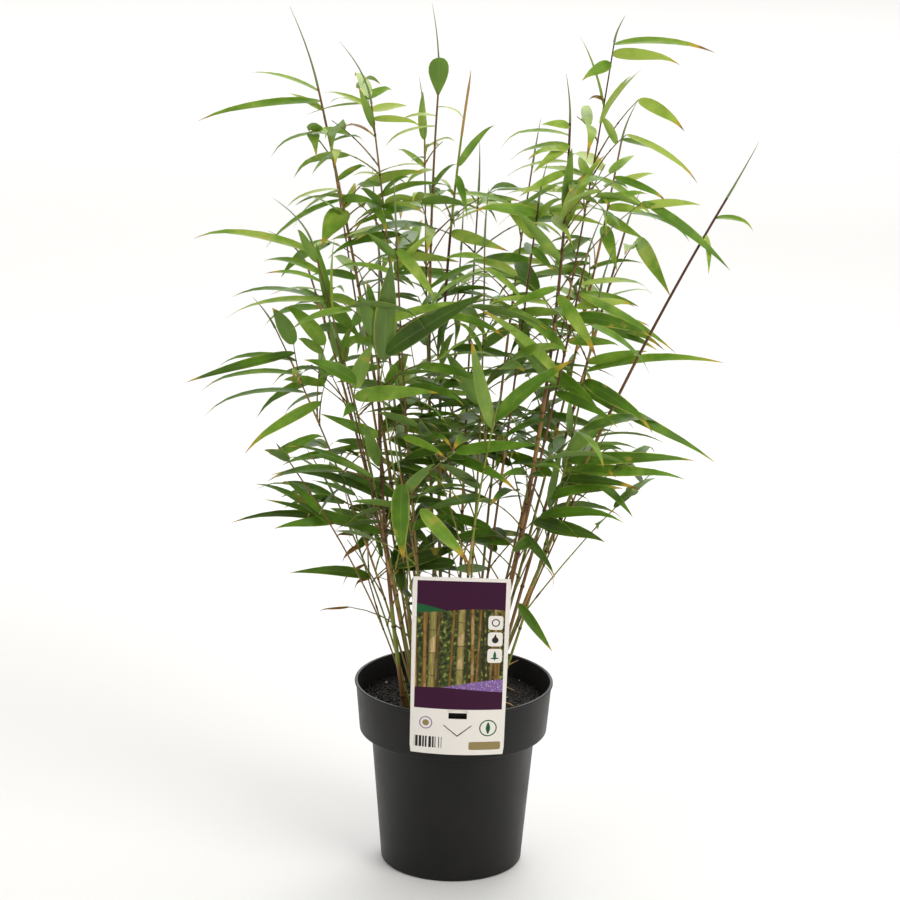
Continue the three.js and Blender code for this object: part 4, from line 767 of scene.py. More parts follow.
# Canes. Each is a jointed woody stem that bears twigs, and each twig a few leaves, spread in a fan. They
# were traced from the photograph: for each its root on the soil, the point its curve leans towards, where
# its leafy part ends, the tip of the rolled young leaf it ends in, its radius at the soil in millimetres,
# and how many further sprays grow on it by rule. A spray is the height at which its twig leaves the cane,
# the place where its leaves spread, if not on the cane, and for each leaf its tip, width and roll.
CANE_PARTS = ("root", "knee", "top", "spike", "radius", "more", "sprays")
CANE_ROWS = (
    ((-31, -24), (-70, 0, 480), (-141, 20, 785), (-168, 20, 861), 2.4, 1, (
        (780, None, ((-205, 10, 800, 10, 15), (-255, 0, 755, 11, 30), (-170, 40, 775, 8, 25))),
        (740, None, ((-185, 0, 725, 10, 5), (-95, 5, 740, 8, -15))),
        (695, None, ((-90, 0, 715, 8, 40), (-170, -10, 675, 8, 5), (-80, -15, 680, 9, -60),
            (-105, 45, 690, 8, -40))),
        (685, None, ((-175, 35, 655, 10, 25), (-190, 5, 630, 10, 20), (-135, -15, 640, 24, 20),
            (-155, -5, 690, 8, 15))),
    )),
    ((-24, 10), (-50, -5, 480), (-88, -20, 775), (-119, -20, 834), 2.3, 1, (
        (770, None, ((-135, -5, 785, 8, 20), (-40, -30, 760, 8, -45), (-100, -40, 795, 8, -60),
            (-115, -45, 760, 8, 30))),
        (705, None, ((-105, -40, 710, 8, 15), (-105, 10, 690, 8, 30), (-50, -30, 710, 8, -45),
            (-35, -40, 675, 8, -15))),
        (675, None, ((-90, -30, 705, 10, -30), (-65, 15, 655, 9, 50))),
    )),
    ((-12, 20), (-40, 25, 520), (-25, 30, 780), (-32, 30, 865), 2.4, 1, (
        (775, None, ((-25, 20, 815, 20, -5), (0, 10, 760, 8, 5), (-60, 20, 755, 8, 10),
            (-75, 10, 735, 10, 0))),
        (705, None, ((-55, 0, 695, 8, 10), (-10, -10, 690, 8, 20), (-5, 45, 710, 8, 0))),
    )),
    ((-15, 46), (-32, 60, 450), (-38, 60, 735), (-44, 60, 790), 2, 1, (
        (728, None, ((-40, 48, 782, 11, -50), (-8, 40, 735, 8, -15), (-50, 35, 712, 8, -5),
            (-68, 70, 720, 8, 25))),
    )),
    ((-5, 0), (-36, -5, 500), (4, -10, 790), (6, -10, 808), 2.4, 2, (
        (715, None, ((30, -20, 760, 8, 60), (5, -35, 675, 8, -10), (15, 10, 675, 8, 5),
            (55, -15, 675, 10, -15))),
        (650, None, ((45, -45, 640, 12, -60),)),
    )),
    ((-30, -38), (-80, -52, 430), (-141, -60, 645), (-179, -60, 690), 2.2, 1, (
        (638, None, ((-255, -55, 655, 11, 30), (-155, -78, 668, 9, -60))),
        (618, None, ((-190, -35, 625, 10, 25), (-185, -80, 622, 8, 25), (-180, -95, 605, 8, 5),
            (-225, -55, 575, 11, 20))),
        (590, None, ((-165, -80, 605, 8, 50), (-140, -30, 645, 10, 15), (-120, -70, 665, 11, -20))),
    )),
    ((-33, -6), (-82, 10, 400), (-150, 25, 605), (-190, 35, 640), 2, 3, (
        (575, None, ((-225, 30, 575, 10, 10), (-195, 60, 540, 10, 35))),
    )),
    ((-27, -52), (-85, -50, 370), (-178, -42, 560), (-200, -40, 590), 2, 1, (
        (505, (-160, -45, 545), ((-180, -60, 585, 16, -60), (-265, -45, 505, 10, 60),
            (-235, -25, 520, 10, 20), (-160, -60, 518, 10, 15))),
        (470, (-130, -45, 545), ((-170, -35, 585, 15, 60), (-155, -75, 560, 9, -60))),
        (515, None, ((-250, -40, 500, 10, 15), (-205, -65, 495, 9, 35), (-250, -20, 470, 11, 10))),
        (465, (-130, -45, 505), ((-180, -20, 515, 9, 60), (-195, -15, 480, 10, 30),
            (-215, -60, 462, 11, 60))),
    )),
    ((-19, -60), (-55, -88, 400), (-88, -95, 600), (-100, -100, 640), 2, 0, (
        (520, (-70, -98, 550), ((25, -118, 615, 22, -60), (-65, -112, 645, 22, 15))),
        (575, None, ((10, -78, 605, 10, -45), (-98, -110, 615, 14, -40), (-90, -75, 622, 12, 25))),
    )),
    ((-18, -44), (-50, -85, 420), (-62, -68, 660), (-66, -60, 720), 1.9, 2, (
        (645, None, ((-22, -95, 600, 11, -55), (-90, -85, 665, 9, -60), (-28, -60, 660, 9, -30),
            (-120, -78, 630, 10, 20))),
        (510, None, ((5, -112, 510, 11, -45),)),
    )),
    ((-30, -62), (-72, -80, 380), (-118, -80, 560), (-135, -78, 600), 1.8, 1, (
        (500, (-115, -68, 540), ((-123, -80, 575, 10, -45), (-106, -58, 568, 10, -20))),
        (490, (-98, -88, 520), ((-148, -102, 545, 15, 60), (-82, -100, 562, 15, 45),
            (-18, -112, 528, 16, -60), (-110, -105, 490, 11, 35))),
    )),
    ((-44, -44), (-64, -62, 380), (-78, -58, 600), (-80, -50, 650), 2.5, 2, (
        (460, None, ((-125, -85, 495, 11, 60),)),
        (430, None, ((-90, -100, 485, 13, -60),)),
        (405, None, ((-165, -80, 455, 11, 20), (-182, -55, 420, 11, 30))),
    )),
    ((-39, -29), (-64, -58, 290), (-170, -72, 446), (-175, -80, 456), 1.5, 0, (
        (444, None, ((-128, -82, 462, 10, -60), (-186, -92, 452, 12, -40))),
        (380, None, ((-168, -76, 420, 10, 50), (-198, -50, 408, 11, 25))),
    )),
    ((-38, -16), (-68, -45, 290), (-122, -38, 395), (-150, -30, 440), 1.6, 1, (
        (370, None, ((-178, -65, 368, 11, 60), (-222, -38, 362, 11, 30))),
        (330, (-72, -58, 360), ((-190, -60, 388, 11, 50),)),
        (310, None, ((-162, -70, 322, 12, 50),)),
    )),
    ((-10, -66), (-35, -98, 330), (-56, -105, 440), (-62, -108, 480), 1.5, 0, (
        (425, None, ((-50, -122, 350, 19, -25), (-22, -126, 452, 10, 60))),
        (370, (-35, -107, 400), ((15, -125, 352, 14, -60),)),
    )),
    ((2, -60), (8, -92, 370), (36, -108, 500), (40, -112, 520), 1.7, 0, (
        (490, None, ((110, -122, 555, 16, -60), (10, -120, 575, 13, -60))),
        (380, (22, -84, 415), ((-18, -112, 448, 11, -60), (-32, -106, 398, 9, 60))),
        (450, (20, -72, 495), ((-15, -95, 555, 14, -60),)),
    )),
    ((12, -30), (45, -55, 430), (72, -58, 690), (80, -56, 730), 2, 2, (
        (680, None, ((10, -80, 690, 12, 60), (95, -75, 700, 13, -50))),
        (655, None, ((38, -40, 685, 9, 60), (88, -88, 630, 9, -35))),
    )),
    ((5, -40), (25, -52, 420), (22, -42, 645), (25, -40, 700), 1.9, 2, (
        (632, None, ((-18, -58, 635, 9, 30), (62, -60, 592, 10, -15))),
        (545, None, ((58, -78, 580, 10, 60), (-5, -72, 580, 11, 60))),
    )),
    ((21, -56), (72, -68, 400), (118, -50, 630), (135, -45, 680), 2, 1, (
        (610, None, ((185, -10, 600, 9, -25), (215, -48, 550, 11, -45))),
        (560, (90, -72, 610), ((42, -92, 592, 9, 40), (130, -98, 552, 13, -55))),
        (588, None, ((168, -38, 590, 10, -60), (182, -78, 568, 14, -60))),
        (555, None, ((155, -38, 550, 11, -50), (28, -72, 600, 11, 60))),
        (520, None, ((15, -75, 592, 12, 60), (50, -85, 565, 10, -60))),
        (505, None, ((152, -102, 488, 11, -45),)),
    )),
    ((16, 8), (94, 10, 460), (143, 20, 832), (153, 20, 858), 2.4, 2, (
        (830, None, ((240, 15, 825, 12, -25), (205, -5, 820, 13, -55), (112, 0, 800, 12, 55))),
        (770, None, ((115, 10, 845, 9, 5), (172, 38, 805, 9, -5), (160, 0, 806, 8, 20))),
        (715, (165, -30, 785), ((208, -52, 762, 12, -60),)),
        (700, (155, -22, 750), ((225, -20, 708, 10, -30), (200, 8, 725, 9, -35), (128, -44, 772, 8, -40))),
    )),
    ((22, -16), (98, -50, 480), (100, -50, 765), (95, -50, 812), 2.5, 1, (
        (762, None, ((72, -78, 768, 9, 60), (35, -50, 750, 10, 10), (45, -28, 728, 10, 25))),
        (745, None, ((82, -80, 705, 10, 40), (60, -90, 738, 9, 25))),
        (728, None, ((42, -30, 712, 10, 10), (50, -66, 702, 9, 40))),
        (680, None, ((102, -62, 748, 10, 5), (118, -68, 725, 12, 10), (135, -25, 735, 10, -35),
            (65, -68, 682, 9, 30))),
        (632, None, ((58, -78, 708, 11, -50),)),
        (552, (36, -72, 668), ((-4, -88, 675, 9, 25), (-12, -62, 650, 9, 35), (60, -58, 688, 9, -10),
            (75, -92, 618, 11, -60))),
        (600, (171, -60, 693), ((255, -70, 630, 11, -50), (226, -52, 690, 10, -45),
            (215, -78, 662, 9, -10))),
    )),
    ((26, 26), (106, 42, 440), (155, 58, 730), (170, 62, 770), 2.1, 2, (
        (695, None, ((202, 48, 675, 9, -45), (190, 85, 695, 9, -30))),
        (665, None, ((182, 55, 660, 9, -60), (178, 15, 642, 11, -55), (152, 12, 612, 13, -15))),
    )),
    ((22, -40), (110, -55, 440), (250, -60, 698), (278, -60, 752), 2.2, 0, (
        (678, None, ((275, -72, 674, 9, -20),)),
        (662, None, ((236, -78, 632, 8, 35),)),
    )),
    ((30, -29), (102, -45, 360), (134, -36, 600), (150, -30, 650), 2.2, 0, (
        (565, None, ((192, -22, 540, 10, -50),)),
        (530, None, ((180, -30, 548, 10, -60), (255, -50, 535, 12, -30), (187, -80, 480, 14, -60),
            (255, -62, 450, 12, -60))),
        (455, None, ((108, -62, 508, 12, -60),)),
        (440, None, ((162, -70, 482, 16, 60), (228, -60, 450, 13, -60), (222, -32, 424, 12, -60),
            (180, -82, 428, 11, -60))),
    )),
    ((14, -68), (58, -62, 290), (130, -42, 432), (150, -40, 470), 1.7, 0, (
        (420, None, ((172, -58, 380, 11, -40), (155, -20, 405, 10, -60))),
        (370, (88, -46, 395), ((158, -45, 395, 11, -50), (102, -66, 455, 10, 0))),
        (350, (82, -46, 376), ((168, -56, 378, 12, -50), (146, -74, 358, 15, -60))),
        (330, (66, -56, 362), ((97, -72, 328, 9, -60), (46, -78, 360, 12, 50))),
        (270, (62, -62, 292), ((96, -78, 248, 10, -60),)),
    )),
    ((-33, 24), (-80, 62, 420), (-128, 108, 690), (-140, 118, 740), 2.2, 5, ()),
    ((-23, 58), (-62, 108, 400), (-88, 168, 630), (-92, 180, 680), 2.1, 4, ()),
    ((-3, 64), (-12, 112, 380), (0, 150, 600), (2, 160, 650), 2, 5, ()),
    ((20, 56), (34, 100, 430), (70, 130, 690), (78, 138, 740), 2.2, 4, ()),
    ((31, 8), (100, 50, 400), (165, 118, 630), (180, 128, 670), 2.1, 5, ()),
    ((4, 26), (4, 36, 430), (16, 50, 680), (16, 54, 730), 2.2, 5, ()),
)
CANES = [dict(zip(CANE_PARTS, row)) for row in CANE_ROWS]

# How a traced cane grows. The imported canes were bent, and their twigs and leaves turned, until they stood
# clear of each other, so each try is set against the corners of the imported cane.
SEED = 20817
UP = np.array((0.0, 0.0, 1.0))
CORNER_MATCH = 0.05
KNEE_SHIFT = 4
HEIGHT_SHIFT = 9
LEAF_TURN = math.radians(5)
TWIG_TURN = math.radians(16)
TWIG_LIFT = math.radians(9)
PLANTING_DEPTH = 24
CANE_STEPS = (0, 0.2, 0.4, 0.6, 0.8, 1)
CANE_TOP_RADIUS = 1.15
TWIG_RADIUS = 1.15
TWIG_THINNING = 0.3
LEAF_STEP = 9
GOLDEN_TURN = math.radians(137.5)
LEAF_FAN = [math.radians(angle) for angle in (0, 52, -48, 24)]
TRIES = [
    (across, up)
    for reach in range(6)
    for across in range(-reach, reach + 1)
    for up in range(-reach, reach + 1)
    if max(abs(across), abs(up)) == reach
]


def draw(*keys):
    """A number from 0 to 1 that the keys alone decide, so that each cane grows the same every time."""
    mixed = SEED
    for key in keys:
        mixed = ((mixed ^ key) * 0x9E3779B1) & 0xFFFFFFFF
        mixed ^= mixed >> 15
        mixed = (mixed * 0x85EBCA6B) & 0xFFFFFFFF
        mixed ^= mixed >> 13
    return mixed / 2**32


def unit(line):
    """A line's direction."""
    return line / np.linalg.norm(line)


def turned(line, axis, angle):
    """A line turned about a unit axis."""
    level = np.cross(axis, line) * math.sin(angle) + line * math.cos(angle)
    return level + axis * np.dot(axis, line) * (1 - math.cos(angle))


def bearing_of(heading, lift):
    """The unit direction with a compass heading and an angle above level."""
    level = math.cos(lift)
    return np.array((level * math.cos(heading), level * math.sin(heading), math.sin(lift)))


def frame_of(along, roll):
    """The two directions across a line: one level, the other upright to both, turned about it by a roll."""
    level = np.cross(along, UP)
    if np.linalg.norm(level) < 0.15:
        level = np.array((0.0, -1.0, 0.0)) + along * along[1]
    level = unit(level)
    upright = np.cross(level, along)
    side = level * math.cos(roll) + upright * math.sin(roll)
    return side, upright * math.cos(roll) - level * math.sin(roll)


def curve_point(start, control, end, t):
    """A point on a curve that leaves its start towards its control and comes to its end from there."""
    return start * (1 - t) ** 2 + control * 2 * t * (1 - t) + end * t * t


def cane_point(cane, t):
    """A point on a cane's middle line, from 0 in the soil to 1 where its leafy part ends."""
    return curve_point(cane["foot"], cane["bend"], cane["end"], t)


def on_stretches(cane, t):
    """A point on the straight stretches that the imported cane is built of."""
    step = next(index for index in range(1, len(CANE_STEPS)) if t <= CANE_STEPS[index])
    before, after = CANE_STEPS[step - 1], CANE_STEPS[step]
    share = (t - before) / (after - before)
    return cane_point(cane, before) * (1 - share) + cane_point(cane, after) * share


def cane_direction(cane, t):
    """The way a cane grows at a point on it."""
    return unit((cane["bend"] - cane["foot"]) * (1 - t) + (cane["end"] - cane["bend"]) * t)


def cane_radius(cane, t):
    """A cane's radius in millimetres at a point on it."""
    return cane["radius"] + (CANE_TOP_RADIUS - cane["radius"]) * t


def cane_at(cane, height):
    """Where on its curve a cane reaches a height."""
    low, high = 0.0, 1.0
    for _ in range(30):
        middle = (low + high) / 2
        if cane_point(cane, middle)[2] < height:
            low = middle
        else:
            high = middle
    return (low + high) / 2


def found(cane, points, needed):
    """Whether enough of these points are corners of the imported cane."""
    near = [cane["corners"].find(Vector(point) * MM)[2] < CORNER_MATCH * MM for point in points]
    return sum(near) >= needed


def place_cane(cane, number):
    """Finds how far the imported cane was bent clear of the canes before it."""
    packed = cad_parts[f"cane_{number + 1:02d}"].data.vertices
    cane["number"] = number
    cane["corners"] = KDTree(len(packed))
    for vertex in packed:
        cane["corners"].insert(vertex.co, vertex.index)
    cane["corners"].balance()
    cane["foot"] = np.array((*cane["root"], SOIL_HEIGHT - PLANTING_DEPTH), float)
    cane["end"] = np.array(cane["top"], float)
    cane["twigs"] = []
    cane["leaves"] = []
    for across, up in TRIES:
        cane["bend"] = np.array(cane["knee"], float) + np.array((across, up, 0)) * KNEE_SHIFT
        along = cane_direction(cane, CANE_STEPS[2])
        side = unit(np.cross((0, 1, 0), along))
        third = np.cross(along, side)
        radius = cane_radius(cane, CANE_STEPS[2])
        middle = cane_point(cane, CANE_STEPS[2])
        ring = [middle + line * radius for line in (side, third, -side, -third)]
        if found(cane, ring, 2):
            return
    cane["bend"] = np.array(cane["knee"], float)


def make_twig(cane, start_at, end, radius):
    """A twig that leaves its cane along it and bends over to its end."""
    start = on_stretches(cane, start_at)
    length = np.linalg.norm(end - start)
    control = start + (end - start) * 0.4 + cane_direction(cane, start_at) * length * 0.16
    return dict(start=start, control=control, end=end, length=length, radius=radius, start_at=start_at)


def on_twig(twig, t):
    """A point on the two straight halves that a packed twig is built of."""
    middle = curve_point(twig["start"], twig["control"], twig["end"], 0.5)
    if t < 0.5:
        return twig["start"] + (middle - twig["start"]) * 2 * t
    return middle + (twig["end"] - middle) * (2 * t - 1)


def twig_found(cane, twig):
    """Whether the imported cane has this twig, by the three corners at its middle."""
    side, normal = frame_of(unit(twig["end"] - twig["start"]), 0)
    size = twig["radius"] * (1 - TWIG_THINNING / 2)
    middle = curve_point(twig["start"], twig["control"], twig["end"], 0.5) + normal * size * 0.5
    return found(cane, [middle + side * size, middle - normal * size * 1.5, middle - side * size], 2)


def hang_leaf(cane, key, root, tip, width, roll, droop):
    """Adds a leaf to a cane, under its spray and its place in it."""
    cane["leaves"].append(dict(key=key, root=root, tip=tip, width=width, roll=roll, droop=droop))


def find_leaf(cane, spray, index, root, tip, width, roll):
    """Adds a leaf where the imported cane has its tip. A leaf that was left out there is left out here."""
    chord = unit(tip - root)
    luck = draw(cane["number"], spray, math.floor(width * 16 + 0.5))
    droop = 0.22 + 0.5 * math.hypot(chord[0], chord[1]) * (0.5 + luck)
    level = frame_of(chord, 0)[0]
    for across, up in TRIES:
        line = turned(turned(tip - root, level, LEAF_TURN * up), UP, LEAF_TURN * across)
        if found(cane, [root + line], 1):
            hang_leaf(cane, (spray, index), root, root + line, width, roll, droop)
            return


def grow_traced_spray(cane, spray, height, spread, tips):
    """Grows a spray that was traced: its twig, if its leaves aren't on the cane, and each leaf."""
    twig = None
    if spread:
        for up in [up for across, up in TRIES if across == 0]:
            start_at = cane_at(cane, height + up * HEIGHT_SHIFT)
            twig = make_twig(cane, start_at, np.array(spread, float), TWIG_RADIUS)
            if twig_found(cane, twig):
                break
        else:
            return
        cane["twigs"].append(twig)
    for index, (x, y, z, width, roll) in enumerate(tips):
        if twig:
            root = on_twig(twig, 1 - index * LEAF_STEP / twig["length"])
        else:
            root = on_stretches(cane, cane_at(cane, height - index * LEAF_STEP))
        find_leaf(cane, spray, index, root, np.array((x, y, z), float), width, math.radians(roll))


def grow_ruled_spray(cane, spray, share):
    """Grows a spray by rule, a share of the way up the leafy part of a cane."""
    number = cane["number"]
    from_cane = 0.32 + 0.62 * share
    start = on_stretches(cane, from_cane)
    turn = GOLDEN_TURN * (spray + number * 3) + draw(number, spray, 11)
    length = (52 + 46 * draw(number, spray, 12)) * (1.15 - 0.4 * share)
    rise = 0.35 + 0.5 * draw(number, spray, 13)
    for across, up in TRIES:
        heading = turn + across * TWIG_TURN
        end = start + bearing_of(heading, rise + up * TWIG_LIFT) * length
        twig = make_twig(cane, from_cane, end, TWIG_RADIUS * 0.9)
        if twig_found(cane, twig):
            break
    else:
        return
    cane["twigs"].append(twig)
    count = 4 if draw(number, spray, 14) < 0.35 else 3
    for index in range(count):
        own = [draw(number, spray, index, key) for key in range(21, 26)]
        root = on_twig(twig, 1 - index * LEAF_STEP / length)
        bearing = heading + LEAF_FAN[index] + (own[0] - 0.5) * 0.5
        span = (62 if index == 0 else 50) + 38 * own[2]
        tip = root + bearing_of(bearing, 0.25 - 0.75 * own[1]) * span
        width = 4 + span * (0.1 + 0.05 * own[3])
        find_leaf(cane, spray, index, root, tip, width, (own[4] - 0.5) * 1.5)


spray = 0
for number, cane in enumerate(CANES):
    place_cane(cane, number)
for cane in CANES:
    for height, spread, tips in cane["sprays"]:
        spray += 1
        grow_traced_spray(cane, spray, height, spread, tips)
for turn in range(max(cane["more"] for cane in CANES)):
    for cane in CANES:
        spray += 1
        if turn < cane["more"]:
            grow_ruled_spray(cane, spray, (turn + 0.5) / cane["more"])

# Further sprays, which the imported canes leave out: steep side branches low on the canes, and fans of small
# leaves among the others. A leaf is turned until it is clear of the leaves and canes that are there.
BRANCHES = 34
FANS = 88
FAN_SPAN = (0.24, 0.93)
TOP_FANS = 24
TOP_FAN_SPAN = (0.66, 0.97)
TALL_CANES = (0, 1, 2, 3, 19, 20, 21, 19)
BRANCH_KEY = 1000
FAN_KEY = 2000
TOP_FAN_KEY = 2500
LEAF_CLEARANCE = 6.5
LEAF_CHANCES = 7
SAMPLE_SHARES = np.array((0.4, 0.62, 0.82, 1.0))


def inside_crown(place):
    """Whether a place lies in the crown, which opens upwards, has a cleft and leaves the card in view."""
    x, y, z = place
    across = math.hypot(x, y * 1.12)
    limit = 98 + (z - 300) * 0.97 if z < 400 else 205 - max(0, z - 640) * 0.35
    beyond_cleft = max(0, abs(x - 32) - 36)
    over_card = y < -60 and abs(x - 5) < 75 and z < 400
    return across < limit and z < 690 + 2 * beyond_cleft and z > 240 and y > -128 and not over_card


def in_thin_side(place, luck):
    """Whether a leaf is left out low on the left, where the clump is thinner."""
    return place[0] < -45 and place[1] < 80 and 320 < place[2] < 545 and luck > 0.15


def leaf_samples(root, tip, droop):
    """Points down the middle of a leaf's outer part."""
    shares = SAMPLE_SHARES[:, None]
    sag = np.linalg.norm(tip - root) * droop * shares * (1 - shares) / 2
    return root + (tip - root) * shares + UP * sag


taken = [cane_point(cane, t)[None, :] for cane in CANES for t in np.linspace(0.25, 1, 30)]
for cane in CANES:
    taken += [leaf_samples(leaf["root"], leaf["tip"], leaf["droop"]) for leaf in cane["leaves"]]
taken = np.concatenate(taken)


def add_clear_leaf(cane, spray, index, root, heading, lift, span, width):
    """Adds a leaf on the first of a few bearings where it is clear of what is there."""
    global taken
    for chance in range(LEAF_CHANCES):
        own = [draw(cane["number"], spray, index, chance, key) for key in (51, 52, 53)]
        bearing = heading + (own[0] - 0.5) * (0.5 + 0.4 * chance)
        tip = root + bearing_of(bearing, lift + (own[1] - 0.5) * 0.7) * span
        if not inside_crown(tip) or in_thin_side(tip, own[2]):
            continue
        droop = 0.25 + 0.65 * own[2]
        samples = leaf_samples(root, tip, droop)
        gaps = np.linalg.norm(taken[None, :, :] - samples[:, None, :], axis=2)
        if gaps.min() > LEAF_CLEARANCE:
            hang_leaf(cane, (spray, index), root, tip, width, (own[2] - 0.5) * 1.7, droop)
            taken = np.concatenate((taken, samples))
            return


def grow_side_branch(cane, spray):
    """Grows a long steep twig low on a cane, with leaves on both sides of its outer part."""
    number = cane["number"]
    lucky = [draw(number, spray, key) for key in range(61, 68)]
    start_at = 0.16 + 0.36 * lucky[0]
    heading = lucky[1] * math.tau
    lift = 0.85 + 0.45 * lucky[2]
    length = 110 + 90 * lucky[3]
    end = on_stretches(cane, start_at) + bearing_of(heading, lift) * length
    if not inside_crown(end):
        return
    twig = make_twig(cane, start_at, end, TWIG_RADIUS)
    cane["twigs"].append(twig)
    for index in range(4 + int(lucky[4] * 2.5)):
        at = 1 - index * 19 / length
        root = curve_point(twig["start"], twig["control"], end, at)
        side = 0.0 if index == 0 else (0.95 if index % 2 else -0.95)
        span = 46 + 40 * draw(number, spray, index, 71)
        width = 4 + span * (0.09 + 0.07 * draw(number, spray, index, 72))
        add_clear_leaf(cane, spray, index, root, heading + side, 0.1, span, width)


def grow_fan(cane, spray, least, most):
    """Grows a short twig with a fan of small leaves, between two shares of a cane's length."""
    number = cane["number"]
    lucky = [draw(number, spray, key) for key in range(81, 88)]
    start_at = least + (most - least) * lucky[0]
    heading = GOLDEN_TURN * spray + lucky[1]
    length = 34 + 50 * lucky[2]
    end = on_stretches(cane, start_at) + bearing_of(heading, 0.45 + 0.5 * lucky[3]) * length
    if not inside_crown(end):
        return
    twig = make_twig(cane, start_at, end, TWIG_RADIUS)
    cane["twigs"].append(twig)
    for index in range(3 + int(lucky[4] * 1.8)):
        root = curve_point(twig["start"], twig["control"], end, 1 - index * 8 / length)
        span = (54 if index == 0 else 42) + 36 * draw(number, spray, index, 91)
        width = 3.5 + span * (0.09 + 0.07 * draw(number, spray, index, 92))
        add_clear_leaf(cane, spray, index, root, heading + LEAF_FAN[index], 0.0, span, width)


for count in range(BRANCHES):
    grow_side_branch(CANES[(count * 11) % len(CANES)], BRANCH_KEY + count)
for count in range(FANS):
    grow_fan(CANES[(count * 13) % len(CANES)], FAN_KEY + count, *FAN_SPAN)
for count in range(TOP_FANS):
    grow_fan(CANES[TALL_CANES[count % len(TALL_CANES)]], TOP_FAN_KEY + count, *TOP_FAN_SPAN)

# Bamboo stems. Jointed, smooth and woody: olive green where young, purple-brown where sun and age have
# browned them, with dark rings at the joints and papery sheaths left on some.
STEM_SIDES = 7
JOINT_STEP = 92
JOINT_GAP = 16
JOINT_SWELL = 0.34
SHEATH_LENGTH = 30
# What single canes show: those that are thick for their height, old sheaths between two heights, stems
# that darken towards the top, and stems that change colour at their joints, each tone up to a height.
STOUT_CANES = (11, 20, 22)
OLD_SHEATHS = {20: ((262, 330), (425, 490)), 4: ((745, 800),)}
DARK_TOPS = {22: 1.0, 19: 0.35, 5: 0.4}
TONE_BANDS = {11: ((230, 1.0), (290, -0.5), (900, 1.0)), 4: ((570, 0.5), (650, 1.3), (900, -0.6))}
DRIED_TIPS = (4,)
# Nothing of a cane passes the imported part's own box.
BOX_MARGIN = 0.3
BOX_LOW = np.array(cad_low) / MM + BOX_MARGIN
BOX_HIGH = np.array(cad_high) / MM - BOX_MARGIN
# What each point of a stem or a leaf carries.
RAIL_FLOATS = (
    "leaf", "radius", "joint", "sheath", "along", "tone", "yellow", "brown", "half", "lift", "thick"
)
RAIL_VECTORS = ("centre", "side", "up")


def new_rail():
    """An empty set of chains of points, with a list of values for each attribute."""
    return dict(
        points=[],
        edges=[],
        floats={name: [] for name in RAIL_FLOATS},
        vectors={name: [] for name in RAIL_VECTORS},
    )


def add_chain(rail, points, **values):
    """Adds one chain of points in millimetres. A value is one number, or one for each point."""
    first = len(rail["points"])
    count = len(points)
    rail["points"].extend(tuple(np.clip(point, BOX_LOW, BOX_HIGH) * MM) for point in points)
    rail["edges"].extend((first + step, first + step + 1) for step in range(count - 1))
    for name, store in rail["floats"].items():
        store.extend(np.broadcast_to(values.get(name, 0.0), count).tolist())
    for name, store in rail["vectors"].items():
        store.extend(np.broadcast_to(values.get(name, (0.0, 0.0, 0.0)), (count, 3)).tolist())


def rail_mesh(name, rail):
    """The chains as a mesh of points and edges that carries their values."""
    mesh = bpy.data.meshes.new(name)
    mesh.from_pydata(rail["points"], rail["edges"], [])
    for attribute, values in rail["floats"].items():
        mesh.attributes.new(attribute, "FLOAT", "POINT").data.foreach_set("value", values)
    for attribute, values in rail["vectors"].items():
        store = mesh.attributes.new(attribute, "FLOAT_VECTOR", "POINT")
        store.data.foreach_set("vector", np.ravel(values).tolist())
    return mesh


